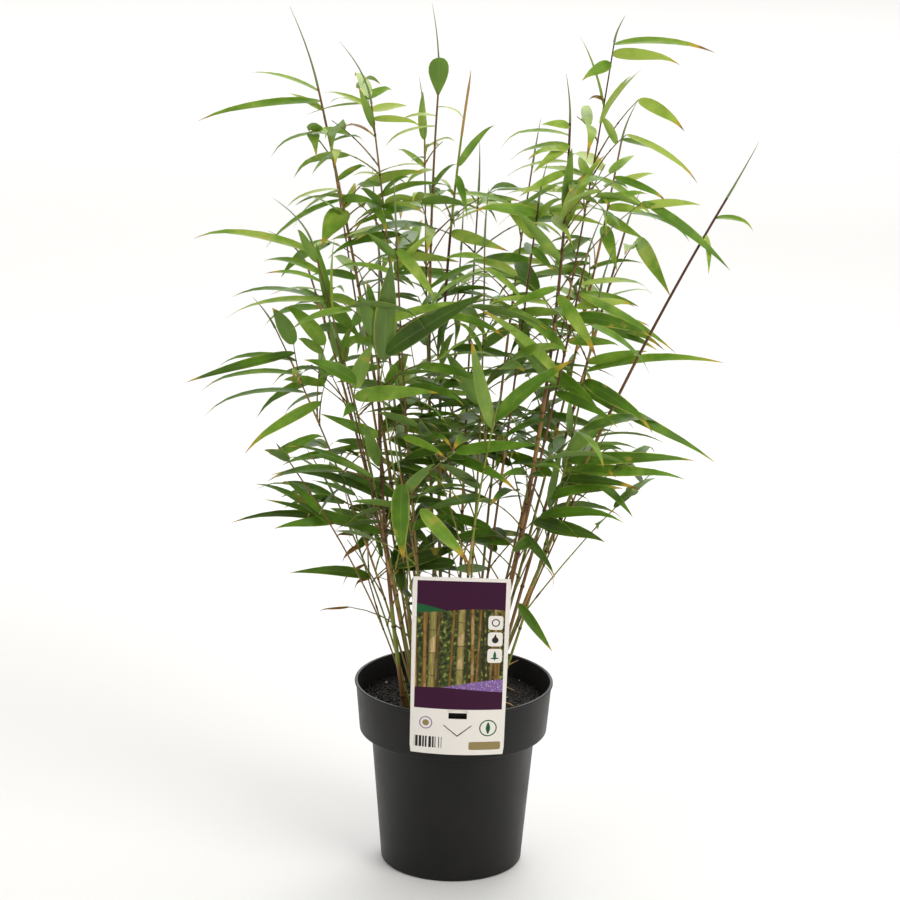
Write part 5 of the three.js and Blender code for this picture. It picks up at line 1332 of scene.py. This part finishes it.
def add_stem(rail, cane):
    """A cane's stem: a smooth tapering tube, swollen at its joints, with sheaths above some of them."""
    number = cane["number"]
    whole = np.linalg.norm(cane["end"] - cane["foot"])
    joints = sorted(twig["start_at"] for twig in cane["twigs"])
    joints = [at for step, at in enumerate(joints) if step == 0 or at - joints[step - 1] > JOINT_GAP / whole]
    lowest = joints[0] if joints else 1.0
    at = (PLANTING_DEPTH + 14 + 20 * draw(number, 1)) / whole
    while at < lowest - JOINT_GAP / whole:
        joints.append(at)
        at += JOINT_STEP * (0.8 + 0.4 * draw(number, 2, len(joints))) / whole
    rows = {t: (0.0, 0.0) for t in np.linspace(0, 1, 26).tolist()}
    for index, joint in enumerate(sorted(joints)):
        has_sheath = draw(number, 3, index) < 0.3
        for offset, swell in ((-3.5, 0.0), (-1.4, 0.25), (-0.3, 1.0), (0.5, 1.0), (1.6, 0.2), (3.5, 0.0)):
            t = joint + offset / whole
            if 0 < t < 1:
                rows[t] = (swell, 1.0 if has_sheath and offset > 0.6 else 0.0)
        if has_sheath:
            length = SHEATH_LENGTH * (0.7 + 0.6 * draw(number, 4, index))
            for share, cover in ((0.3, 1.0), (0.7, 1.0), (0.97, 1.0), (1.0, 0.0)):
                t = joint + (3.5 + length * share) / whole
                if t < 1:
                    rows[t] = (0.0, cover)
    for low, high in OLD_SHEATHS.get(number, ()):
        for t in np.linspace(0, 1, 161).tolist():
            if low < cane_point(cane, t)[2] < high:
                rows[t] = (0.0, 1.0)
    steps = sorted(rows)
    points = [cane_point(cane, t) for t in steps]
    girth = 1.0 if number in STOUT_CANES else 0.6 + 0.4 * draw(number, 8) ** 2
    dark = DARK_TOPS.get(number, 0.0)
    tones = [draw(number, 5) + dark * (2.4 * t - 0.9) for t in steps]
    if number in TONE_BANDS:
        tones = [next(tone for top, tone in TONE_BANDS[number] if point[2] <= top) for point in points]
    radius = [
        (cane_radius(cane, t) * girth * (1 + JOINT_SWELL * rows[t][0]) + 0.25 * rows[t][1]) * MM
        for t in steps
    ]
    add_chain(
        rail,
        points,
        radius=radius,
        joint=[rows[t][0] for t in steps],
        sheath=[rows[t][1] for t in steps],
        along=steps,
        tone=tones,
    )
    spike = np.array(cane["spike"], float)
    tip_control = cane["end"] + cane_direction(cane, 1) * np.linalg.norm(spike - cane["end"]) * 0.45
    spike_steps = np.linspace(0, 1, 8)
    add_chain(
        rail,
        [curve_point(cane["end"], tip_control, spike, t) for t in spike_steps],
        radius=[(CANE_TOP_RADIUS * (1 - t) ** 0.8 + 0.12) * MM for t in spike_steps],
        along=1.0,
        yellow=0.0 if number in DRIED_TIPS else 1.0,
        sheath=1.0 if number in DRIED_TIPS else 0.0,
        tone=0.1,
    )


# Where a twig's points lie along it, and at which of them it has a joint.
TWIG_STATIONS = np.array((0, 0.1, 0.13, 0.16, 0.32, 0.48, 0.54, 0.57, 0.6, 0.78, 1.0))
TWIG_JOINTS = np.array((0, 0, 1, 0, 0, 0, 0, 1, 0, 0, 0))


def add_twig(rail, cane, twig):
    """A wiry twig that leaves its cane along it and bends over to where its leaves spread."""
    start = cane_point(cane, twig["start_at"])
    steps = TWIG_STATIONS
    joint = TWIG_JOINTS
    swell = 1 + 0.3 * joint
    add_chain(
        rail,
        [curve_point(start, twig["control"], twig["end"], t) for t in steps],
        radius=(0.85 - 0.4 * steps) * swell * MM,
        joint=joint,
        along=twig["start_at"],
        yellow=np.clip(steps * 1.6 - 0.7, 0, 0.8),
        tone=0.1 + 0.6 * draw(cane["number"], 6, len(rail["points"])),
    )


# Bamboo leaves. Thin lance-shaped blades on short stalks, widest a third of the way up, folded a little
# along the midrib and drooping in an arc. Each is a closed blade that follows its own line of points.
BLADE_STATIONS = np.array((0, 0.035, 0.1, 0.2, 0.32, 0.46, 0.6, 0.74, 0.86, 0.95, 1.0))
BLADE_THICKNESS = 0.3
STALK_HALF = 0.45
# How strongly a dried tip hooks down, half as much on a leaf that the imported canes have, and the luck from
# which a tip does so.
TIP_CURL = 5
CURLED_FROM = 0.6

# What the photograph shows of single leaves: how yellow the margin is, how far the tip has dried, and how
# light the green is. Each is named by its spray and its place in it.
LEAF_MARKS = {
    (5, 3): (1.0, 1.9, 0.9),
    (50, 0): (1.0, 1.25, 0.85),
    (50, 1): (0.3, 0.9, 1.0),
    (52, 0): (1.0, 1.1, 0.9),
    (44, 1): (1.0, 1.1, 0.7),
    (17, 3): (1.0, 1.2, 0.8),
    (35, 0): (1.0, 1.1, 0.5),
    (13, 0): (1.0, 0.9, 0.9),
    (21, 0): (0.2, 0.1, 0.2),
    (21, 1): (0.6, 0.1, 0.3),
    (66, 1): (0.9, 0.9, 0.7),
    (8, 0): (0.5, 0.6, 0.6),
    (36, 0): (1.0, 1.25, 0.75),
}
# The places of dead leaves, which are all dried up.
DEAD_LEAF = (3000, 0)
LITTER_KEY = 3001
WITHERED_KEY = 3002
LEAF_MARKS[DEAD_LEAF] = (0.0, 2.6, 0.9)
# Leaves that hang from the cane's end with the point down.
HUNG_LEAVES = {(8, 0)}


def add_blade(rail, cane, leaf):
    """A leaf's midrib as a chain of points, each with the blade's width, fold, thickness and directions."""
    number = cane["number"]
    own = [draw(number, *leaf["key"], key) for key in range(31, 42)]
    # A leaf's green is lighter the higher its tip stands: painted light for the brighter lit top of the
    # clump, added to a random tone of its own.
    light = 0.5 * own[3] + 0.72 * min(1, max(0, (leaf["tip"][2] - 330) / 480)) ** 0.8
    yellow, brown, light = LEAF_MARKS.get(leaf["key"], (own[4], 0.4 + 0.8 * own[5] ** 1.5, light))
    root, tip, droop = leaf["root"], leaf["tip"], leaf["droop"]
    chord = unit(tip - root)
    side, normal = frame_of(chord, leaf["roll"])
    along = chord * math.cos(droop / 2) + normal * math.sin(droop / 2)
    up = normal * math.cos(droop / 2) - chord * math.sin(droop / 2)
    length = np.linalg.norm(tip - root) * (droop / 2) / math.sin(droop / 2)
    reach = length / droop
    centres, sides, ups, halves, lifts, thicks = [], [], [], [], [], []
    fold = 0.16 + 0.22 * own[0]
    hung = leaf["key"] in HUNG_LEAVES
    twist = (own[1] - 0.5) * 0.9
    ripple = own[2] * math.tau
    sway = (own[7] - 0.5) * 0.24 * length
    hook = own[8] ** 2 * 90
    if not hung:
        curl = TIP_CURL if leaf["key"][0] >= BRANCH_KEY else TIP_CURL / 2
        hook += curl * length * max(0, own[9] - CURLED_FROM)
    for s in BLADE_STATIONS:
        turn = droop * s
        centre = root + along * reach * math.sin(turn) - up * reach * (1 - math.cos(turn))
        centre = centre + side * sway * s * (1 - s) - UP * hook * max(0, s - 0.72) ** 2
        here_up = up * math.cos(turn) + along * math.sin(turn)
        here_along = along * math.cos(turn) - up * math.sin(turn)
        wind = twist * (s - 0.15) * s
        way = 1 - s if hung else s
        outline = math.sin(math.pi * min(max(way, 0), 0.9999) ** 0.62) ** (0.75 if way < 0.33 else 1.02)
        half = max(STALK_HALF * (1 - way), leaf["width"] / 2 * outline) + 0.06
        centres.append(np.clip(centre, BOX_LOW, BOX_HIGH) * MM)
        sides.append(turned(side, here_along, wind))
        ups.append(turned(here_up, here_along, wind))
        halves.append(half * MM)
        lifts.append((half * fold * (1 - 0.5 * s) + 0.35 * math.sin(ripple + 11 * s) * half / 6) * MM)
        thicks.append(BLADE_THICKNESS / 2 * (1.6 - way) * MM)
    add_chain(
        rail,
        [centre / MM for centre in centres],
        leaf=1.0,
        centre=centres,
        side=sides,
        up=ups,
        half=halves,
        lift=lifts,
        thick=thicks,
        along=1 - BLADE_STATIONS if hung else BLADE_STATIONS,
        tone=light,
        yellow=yellow,
        brown=brown,
        joint=own[6],
    )


leafy = new_tree(
    "leafy cane", {"Stem sides": "Int", "Stem material": "Material", "Leaf material": "Material"}
)
given = add(leafy, "NodeGroupInput").outputs
# What the chains carry, and the two values that are stored on a blade's profile.
stored = {
    name: add(leafy, "GeometryNodeInputNamedAttribute", {"Name": name}, data_type="FLOAT")
    for name in ("leaf", "radius", "half", "lift", "thick", "across", "rise")
}
for name in RAIL_VECTORS:
    stored[name] = add(leafy, "GeometryNodeInputNamedAttribute", {"Name": name}, data_type="FLOAT_VECTOR")
sockets = {"Geometry": given["Geometry"], "Selection": stored["leaf"]}
leaf_chains, stem_chains = add(leafy, "GeometryNodeSeparateGeometry", sockets, domain="POINT").outputs

# The stems: a round profile carried along each chain, as wide as the chain's own radius.
stem_rails = add(leafy, "GeometryNodeMeshToCurve", {0: stem_chains})
stem_round = add(
    leafy, "GeometryNodeCurvePrimitiveCircle", {"Resolution": given["Stem sides"], "Radius": 1.0}
)
stem_tubes = add(
    leafy,
    "GeometryNodeCurveToMesh",
    {"Curve": stem_rails, "Profile Curve": stem_round, "Scale": stored["radius"], "Fill Caps": True},
)
stems = add(leafy, "GeometryNodeSetShadeSmooth", {"Geometry": stem_tubes})
stems = add(leafy, "GeometryNodeSetMaterial", {"Geometry": stems, "Material": given["Stem material"]})

# The leaves: an eight-cornered profile that keeps each corner's place across the blade and above it.
blade_rails = add(leafy, "GeometryNodeMeshToCurve", {0: leaf_chains})
blade_ring = add(leafy, "GeometryNodeCurvePrimitiveCircle", {"Resolution": 8, "Radius": 1.0})
ring_x, ring_y, _ = add(leafy, "ShaderNodeSeparateXYZ", {0: add(leafy, "GeometryNodeInputPosition")}).outputs
ring_across = add(leafy, "ShaderNodeMath", {0: ring_x}, operation="ABSOLUTE")
ring_across = add(leafy, "ShaderNodeMath", {0: ring_x, 1: ring_across}, operation="MULTIPLY")
for name, value in (("across", ring_across), ("rise", ring_y)):
    sockets = {"Geometry": blade_ring, "Name": name, "Value": value}
    blade_ring = add(leafy, "GeometryNodeStoreNamedAttribute", sockets, data_type="FLOAT", domain="POINT")
blade_tubes = add(
    leafy,
    "GeometryNodeCurveToMesh",
    {"Curve": blade_rails, "Profile Curve": blade_ring, "Fill Caps": True},
)
across = stored["across"]
sideways = add(leafy, "ShaderNodeMath", {0: across, 1: stored["half"]}, operation="MULTIPLY")
sideways = add(leafy, "ShaderNodeVectorMath", {0: stored["side"], "Scale": sideways}, operation="SCALE")
fold_up = add(leafy, "ShaderNodeMath", {0: across}, operation="ABSOLUTE")
fold_up = add(leafy, "ShaderNodeMath", {0: fold_up, 1: 0.45}, operation="SUBTRACT")
fold_up = add(leafy, "ShaderNodeMath", {0: fold_up, 1: stored["lift"]}, operation="MULTIPLY")
skin_up = add(leafy, "ShaderNodeMath", {0: stored["rise"], 1: stored["thick"]}, operation="MULTIPLY")
upwards = add(leafy, "ShaderNodeMath", {0: fold_up, 1: skin_up}, operation="ADD")
upwards = add(leafy, "ShaderNodeVectorMath", {0: stored["up"], "Scale": upwards}, operation="SCALE")
corner_offset = add(leafy, "ShaderNodeVectorMath", {0: sideways, 1: upwards}, operation="ADD")
corner_place = add(
    leafy, "ShaderNodeVectorMath", {0: stored["centre"], 1: corner_offset}, operation="ADD"
)
blades = add(leafy, "GeometryNodeSetPosition", {"Geometry": blade_tubes, "Position": corner_place})
blades = add(leafy, "GeometryNodeFlipFaces", {"Mesh": blades})
blades = add(leafy, "GeometryNodeSetShadeSmooth", {"Geometry": blades})
margin = add(leafy, "ShaderNodeMath", {0: stored["rise"]}, operation="ABSOLUTE")
margin = add(leafy, "ShaderNodeMath", {0: margin, 1: 0.01}, operation="LESS_THAN")
blades = add(
    leafy,
    "GeometryNodeSetShadeSmooth",
    {"Geometry": blades, "Selection": margin, "Shade Smooth": False},
    domain="EDGE",
)
blades = add(leafy, "GeometryNodeSetMaterial", {"Geometry": blades, "Material": given["Leaf material"]})
both = add(leafy, "GeometryNodeJoinGeometry")
leafy.links.new(stems.outputs[0], both.inputs[0])
leafy.links.new(blades.outputs[0], both.inputs[0])
real = add(leafy, "GeometryNodeRealizeInstances", {0: both})
add(leafy, "NodeGroupOutput", {0: real})

# Bamboo stem: a hard silica-rich skin with a dull gloss.
stem_skin, tree, place = new_material("bamboo stem skin")
carried = {
    name: add(tree, "ShaderNodeAttribute", attribute_name=name, attribute_type="GEOMETRY").outputs["Fac"]
    for name in ("tone", "along", "yellow", "joint", "sheath")
}
age = add(tree, "ShaderNodeTexNoise", {"Vector": place, "Scale": 90, "Detail": 4, "Roughness": 0.6})
age = add(tree, "ShaderNodeMath", {0: age, 1: 0.7}, operation="MULTIPLY")
age = add(tree, "ShaderNodeMath", {0: carried["tone"], 1: age}, operation="ADD")
higher = add(tree, "ShaderNodeMath", {0: carried["along"], 1: 0.4}, operation="MULTIPLY")
age = add(tree, "ShaderNodeMath", {0: age, 1: higher}, operation="ADD")
blend = add(tree, "ShaderNodeMapRange", {0: age, 1: 0.68, 2: 1.28})
skin = add(tree, "ShaderNodeMix", {0: blend, 6: "#7a8430", 7: "#7c5b35"}, data_type="RGBA")
blend = add(tree, "ShaderNodeMapRange", {0: age, 1: 1.25, 2: 1.8})
skin = add(tree, "ShaderNodeMix", {0: blend, 6: skin, 7: "#50301f"}, data_type="RGBA")
skin = add(tree, "ShaderNodeMix", {0: carried["yellow"], 6: skin, 7: "#6f8150"}, data_type="RGBA")
blend = add(tree, "ShaderNodeMapRange", {0: carried["joint"], 1: 0.15, 2: 0.8, 3: 0.0, 4: 0.85})
skin = add(tree, "ShaderNodeMix", {0: blend, 6: skin, 7: "#3f2c1c"}, data_type="RGBA")
blend = add(tree, "ShaderNodeMath", {0: carried["sheath"], 1: 0.8}, operation="MULTIPLY")
skin = add(tree, "ShaderNodeMix", {0: blend, 6: skin, 7: "#b0854f"}, data_type="RGBA")
surface = add(
    tree,
    "ShaderNodeBsdfPrincipled",
    {"Base Color": skin, "Roughness": 0.46, "IOR": 1.45, "Specular IOR Level": 0.35},
)
add(tree, "ShaderNodeOutputMaterial", {"Surface": surface})

# Bamboo leaf: a thin green blade, satin above and pale with wax below, with parallel veins, a lighter
# midrib, often a yellowed margin and a dried brown tip. Some light passes through it.
leaf_blade, tree, place = new_material("bamboo leaf blade")
carried = {
    name: add(tree, "ShaderNodeAttribute", attribute_name=name, attribute_type="GEOMETRY").outputs["Fac"]
    for name in ("across", "rise", "along", "half", "tone", "yellow", "brown")
}
from_midrib = add(tree, "ShaderNodeMath", {0: carried["across"]}, operation="ABSOLUTE")
patch = add(tree, "ShaderNodeTexNoise", {"Vector": place, "Scale": 38, "Detail": 3, "Roughness": 0.6})
speck = add(tree, "ShaderNodeTexNoise", {"Vector": place, "Scale": 420, "Detail": 3, "Roughness": 0.65})
scorch = add(tree, "ShaderNodeTexNoise", {"Vector": place, "Scale": 62, "Detail": 3})
# The tone that a leaf carries holds painted light, lighter on leaves high in the clump; the patches vary it
# at random.
shade = add(tree, "ShaderNodeMath", {0: patch, 1: 0.5}, operation="SUBTRACT")
shade = add(tree, "ShaderNodeMath", {0: shade, 1: 0.9}, operation="MULTIPLY")
shade = add(tree, "ShaderNodeMath", {0: carried["tone"], 1: shade}, operation="ADD")
greens = ((0.05, "#233f08"), (0.32, "#3e640c"), (0.58, "#5c8c14"), (0.8, "#8ab136"), (0.98, "#bdd25c"))
upper = with_stops(add(tree, "ShaderNodeValToRGB", {0: shade}), *greens)
width_mm = add(tree, "ShaderNodeMath", {0: carried["half"], 1: 1000.0}, operation="MULTIPLY")
veins = add(tree, "ShaderNodeMath", {0: carried["across"], 1: width_mm}, operation="MULTIPLY")
veins = add(tree, "ShaderNodeMath", {0: veins, 1: 5.2}, operation="MULTIPLY")
veins = add(tree, "ShaderNodeMath", {0: veins}, operation="SINE")
veins = add(tree, "ShaderNodeMapRange", {0: veins, 1: -1.0, 2: 1.0})
blend = add(tree, "ShaderNodeMath", {0: veins, 1: 0.22}, operation="MULTIPLY")
upper = add(tree, "ShaderNodeMix", {0: blend, 6: upper, 7: "#92a558"}, data_type="RGBA")
midrib = add(tree, "ShaderNodeMapRange", {0: from_midrib, 1: 0.01, 2: 0.07, 3: 0.3, 4: 0.0})
upper = add(tree, "ShaderNodeMix", {0: midrib, 6: upper, 7: "#a9b56e"}, data_type="RGBA")
blend = add(tree, "ShaderNodeMapRange", {0: from_midrib, 1: 0.86, 2: 0.97, 3: 0.0, 4: 0.5})
upper = add(tree, "ShaderNodeMix", {0: blend, 6: upper, 7: "#a4b64a"}, data_type="RGBA")
under = add(tree, "ShaderNodeMix", {0: 0.34, 6: upper, 7: "#93a66b"}, data_type="RGBA")
blend = add(tree, "ShaderNodeMath", {0: carried["rise"], 1: 0.0}, operation="GREATER_THAN")
face = add(tree, "ShaderNodeMix", {0: blend, 6: under, 7: upper}, data_type="RGBA")
edge_noise = add(tree, "ShaderNodeMath", {0: patch, 1: 0.5}, operation="SUBTRACT")
edge_noise = add(tree, "ShaderNodeMath", {0: edge_noise, 1: 0.7}, operation="MULTIPLY")
margin_place = add(tree, "ShaderNodeMath", {0: from_midrib, 1: edge_noise}, operation="ADD")
yellowing = add(tree, "ShaderNodeMapRange", {0: margin_place, 1: 0.82, 2: 1.05})
yellowed = add(tree, "ShaderNodeMapRange", {0: carried["yellow"], 1: 0.3, 2: 1.0})
yellowing = add(tree, "ShaderNodeMath", {0: yellowing, 1: yellowed}, operation="MULTIPLY")
face = add(tree, "ShaderNodeMix", {0: yellowing, 6: face, 7: "#c3c463"}, data_type="RGBA")
withered = add(tree, "ShaderNodeMath", {0: carried["brown"], 1: 3.0}, operation="POWER")
withered = add(tree, "ShaderNodeMath", {0: withered, 1: 0.12}, operation="MULTIPLY")
dryness = add(tree, "ShaderNodeMath", {0: edge_noise, 1: 0.22}, operation="MULTIPLY")
dryness = add(tree, "ShaderNodeMath", {0: carried["along"], 1: dryness}, operation="ADD")
dry_from = add(tree, "ShaderNodeMath", {0: 1.03, 1: withered}, operation="SUBTRACT")
dryness = add(tree, "ShaderNodeMath", {0: dryness, 1: dry_from}, operation="SUBTRACT")
blend = add(tree, "ShaderNodeMapRange", {0: dryness, 1: -0.1, 2: -0.01})
face = add(tree, "ShaderNodeMix", {0: blend, 6: face, 7: "#d0b03a"}, data_type="RGBA")
blend = add(tree, "ShaderNodeMapRange", {0: dryness, 1: 0.01, 2: 0.06})
face = add(tree, "ShaderNodeMix", {0: blend, 6: face, 7: "#96693a"}, data_type="RGBA")
blend = add(tree, "ShaderNodeMapRange", {0: speck, 1: 0.66, 2: 0.74, 3: 0.0, 4: 0.5})
face = add(tree, "ShaderNodeMix", {0: blend, 6: face, 7: "#7a6a38"}, data_type="RGBA")
scorched = add(tree, "ShaderNodeMapRange", {0: scorch, 1: 0.63, 2: 0.69})
yellowed = add(tree, "ShaderNodeMapRange", {0: carried["yellow"], 1: 0.72, 2: 0.8})
scorched = add(tree, "ShaderNodeMath", {0: scorched, 1: yellowed}, operation="MULTIPLY")
scorched = add(tree, "ShaderNodeMath", {0: scorched, 1: 0.6}, operation="MULTIPLY")
face = add(tree, "ShaderNodeMix", {0: scorched, 6: face, 7: "#c6b050"}, data_type="RGBA")
blade_surface = add(
    tree,
    "ShaderNodeBsdfPrincipled",
    {
        "Base Color": face,
        "Roughness": add(tree, "ShaderNodeMapRange", {0: patch, 1: 0.3, 2: 0.7, 3: 0.36, 4: 0.52}),
        "Normal": add(tree, "ShaderNodeBump", {"Height": veins, "Strength": 0.25, "Distance": 0.0002}),
        "IOR": 1.42,
        "Specular IOR Level": 0.35,
    },
)
shine_through = add(tree, "ShaderNodeMix", {0: 0.5, 6: face, 7: "#abc832"}, data_type="RGBA")
shine_through = add(tree, "ShaderNodeBsdfTranslucent", {"Color": shine_through})
leaf_mix = add(tree, "ShaderNodeMixShader", {0: 0.37, 1: blade_surface, 2: shine_through})
add(tree, "ShaderNodeOutputMaterial", {"Surface": leaf_mix})

# A dead side branch, low on the left of the first cane: a bent dry twig that still holds one narrow
# withered leaf. It has the height where it starts, its bend and end, and the leaf's tip.
DEAD_TWIG_HEIGHT = 236
DEAD_TWIG_BEND = np.array((-66.0, -24.0, 268.0))
DEAD_TWIG_END = np.array((-105.0, -25.0, 273.0))
DEAD_LEAF_TIP = np.array((-136.0, -27.0, 271.0))
dead_start = cane_at(CANES[0], DEAD_TWIG_HEIGHT)
CANES[0]["twigs"].append(dict(start_at=dead_start, control=DEAD_TWIG_BEND, end=DEAD_TWIG_END))
hang_leaf(CANES[0], DEAD_LEAF, DEAD_TWIG_END, DEAD_LEAF_TIP, 2.6, 0.9, 0.3)

# Small withered and yellowed leaves that still hang on canes: the cane, the height where each grows from
# it, how far its tip lies from there, its width, and how far it has dried.
WITHERED_LEAVES = (
    (13, 352, (-17, -4, 1), 4.0, 2.6),
    (13, 341, (-15, -6, -12), 5.5, 2.6),
    (13, 322, (-22, -5, -15), 4.0, 2.6),
    (13, 308, (-16, -6, -5), 5.0, 2.6),
    (12, 402, (-13, -5, -7), 4.0, 2.4),
    (19, 776, (-16, -8, 4), 7.0, 2.2),
    (23, 521, (3, -6, -14), 7.0, 1.7),
    (24, 330, (10, -8, -16), 5.0, 2.4),
)
for index, (number, height, offset, width, dried) in enumerate(WITHERED_LEAVES):
    root = cane_point(CANES[number], cane_at(CANES[number], height))
    key = (WITHERED_KEY, index)
    LEAF_MARKS[key] = (1.0, dried, 0.8)
    hang_leaf(CANES[number], key, root, root + np.array(offset, float), width, 0.6, 0.9)

for cane in CANES:
    rail = new_rail()
    add_stem(rail, cane)
    for twig in cane["twigs"]:
        add_twig(rail, cane, twig)
    for leaf in cane["leaves"]:
        add_blade(rail, cane, leaf)
    name = f"cane_{cane['number'] + 1:02d}"
    grown = run_tree(
        name + "_grown",
        rail_mesh(name + "_rail", rail),
        leafy,
        {"Stem sides": STEM_SIDES, "Stem material": stem_skin, "Leaf material": leaf_blade},
    )
    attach(grown, "root")
    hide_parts(name)

# Litter. Dry bits of sheath and stalk that fell on the soil, and one stalk that leans on the pot's wall.
# Each is given by places on the soil and heights over it, and by its radius or its width.
LITTER_STALKS = (
    ((26, 48, 1.5), (45, 60, 12), (66.5, 68.5, 20.5), 0.8),
    ((50, -6, 1.8), (56, -12, 2.4), (61, -19, 1.5), 0.9),
)
LITTER_LEAVES = (
    ((47, 40, 2.2), (63, 25, 1.8), 4.2),
    ((10, -78, 2.2), (28, -84, 1.8), 4.0),
    ((-20, 70, 2.2), (-38, 78, 1.8), 4.5),
)
STALK_THINNING = (0.5, 1.0, 0.9, 1.0, 0.8, 0.3)


def on_soil(place):
    """A place over the soil, in millimetres, from its two sides and its height over the soil."""
    x, y, lift = place
    return np.array((x, y, soil_height(x, y) + lift))


rail = new_rail()
for start, middle, end, radius in LITTER_STALKS:
    add_chain(
        rail,
        [
            curve_point(on_soil(start), on_soil(middle), on_soil(end), t)
            for t in np.linspace(0, 1, len(STALK_THINNING))
        ],
        radius=[radius * share * MM for share in STALK_THINNING],
        sheath=1.0,
        tone=0.4,
    )
for index, (root, tip, width) in enumerate(LITTER_LEAVES):
    key = (LITTER_KEY, index)
    LEAF_MARKS[key] = (0.0, 2.6, 0.9)
    add_blade(
        rail,
        CANES[0],
        dict(key=key, root=on_soil(root), tip=on_soil(tip), width=width, roll=0.2, droop=0.4),
    )
litter = run_tree(
    "soil_litter",
    rail_mesh("litter", rail),
    leafy,
    {"Stem sides": 6, "Stem material": stem_skin, "Leaf material": leaf_blade},
)
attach(litter, "root")

# Setting. A pale floor that runs out of sight behind, under soft light from a large window on the right, a
# weaker one on the left and the bright room.
FLOOR_REACH = 40
floor_corners = [(x * FLOOR_REACH, y * FLOOR_REACH, 0) for x, y in ((-1, -1), (1, -1), (1, 1), (-1, 1))]
floor_mesh = mesh_from("floor", floor_corners, [(0, 1, 2, 3)])
floor = link("floor", floor_mesh)
floor_finish, tree = new_material("pale painted floor")[:2]
surface = add(tree, "ShaderNodeBsdfPrincipled", {"Base Color": "#e2e1e0", "Roughness": 0.8})
add(tree, "ShaderNodeOutputMaterial", {"Surface": surface})
floor_mesh.materials.append(floor_finish)


def add_light(name, place, target, size, power, colour):
    """A large soft light that faces a point."""
    data = bpy.data.lights.new(name, "AREA")
    data.shape = "RECTANGLE"
    data.size, data.size_y = size
    data.energy = power
    data.color = colour
    light = bpy.data.objects.new(name, data)
    light.location = place
    light.rotation_euler = (Vector(target) - Vector(place)).to_track_quat("-Z", "Y").to_euler()
    bpy.context.scene.collection.objects.link(light)
    return light


key = add_light("key", (1.6, -1.5, 1.9), (0, 0, 0.45), (1.4, 1.4), 38, (1.0, 0.98, 0.95))
fill = add_light("fill", (-1.9, -1.6, 1.5), (0, 0, 0.45), (1.6, 1.6), 10, (0.97, 0.99, 1.0))
back = add_light("back", (0.4, 1.9, 2.0), (0, 0, 0.55), (1.6, 1.0), 22, (1.0, 1.0, 1.0))
backdrop = add_light("backdrop light", (0, 5.5, 3.2), (0, 5, 0), (8, 5), 150, (1.0, 1.0, 1.0))
world = bpy.data.worlds.new("bright room")
world.use_nodes = True
tree = world.node_tree
tree.nodes.clear()
# The room behind the plant is brighter than the one in front, so little gloss veils its dark colours.
sky_way = add(tree, "ShaderNodeTexCoord").outputs["Generated"]
sky_strength = add(tree, "ShaderNodeSeparateXYZ", {0: sky_way}).outputs[1]
sky_strength = add(tree, "ShaderNodeMapRange", {0: sky_strength, 1: -0.5, 2: 0.9, 3: 0.45, 4: 1.45})
sky = add(tree, "ShaderNodeBackground", {"Color": "#f4f3f1", "Strength": sky_strength})
add(tree, "ShaderNodeOutputWorld", {"Surface": sky})
bpy.context.scene.world = world
bpy.context.scene.view_settings.view_transform = "Standard"
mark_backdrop(floor, key, fill, back, backdrop)

low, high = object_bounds()
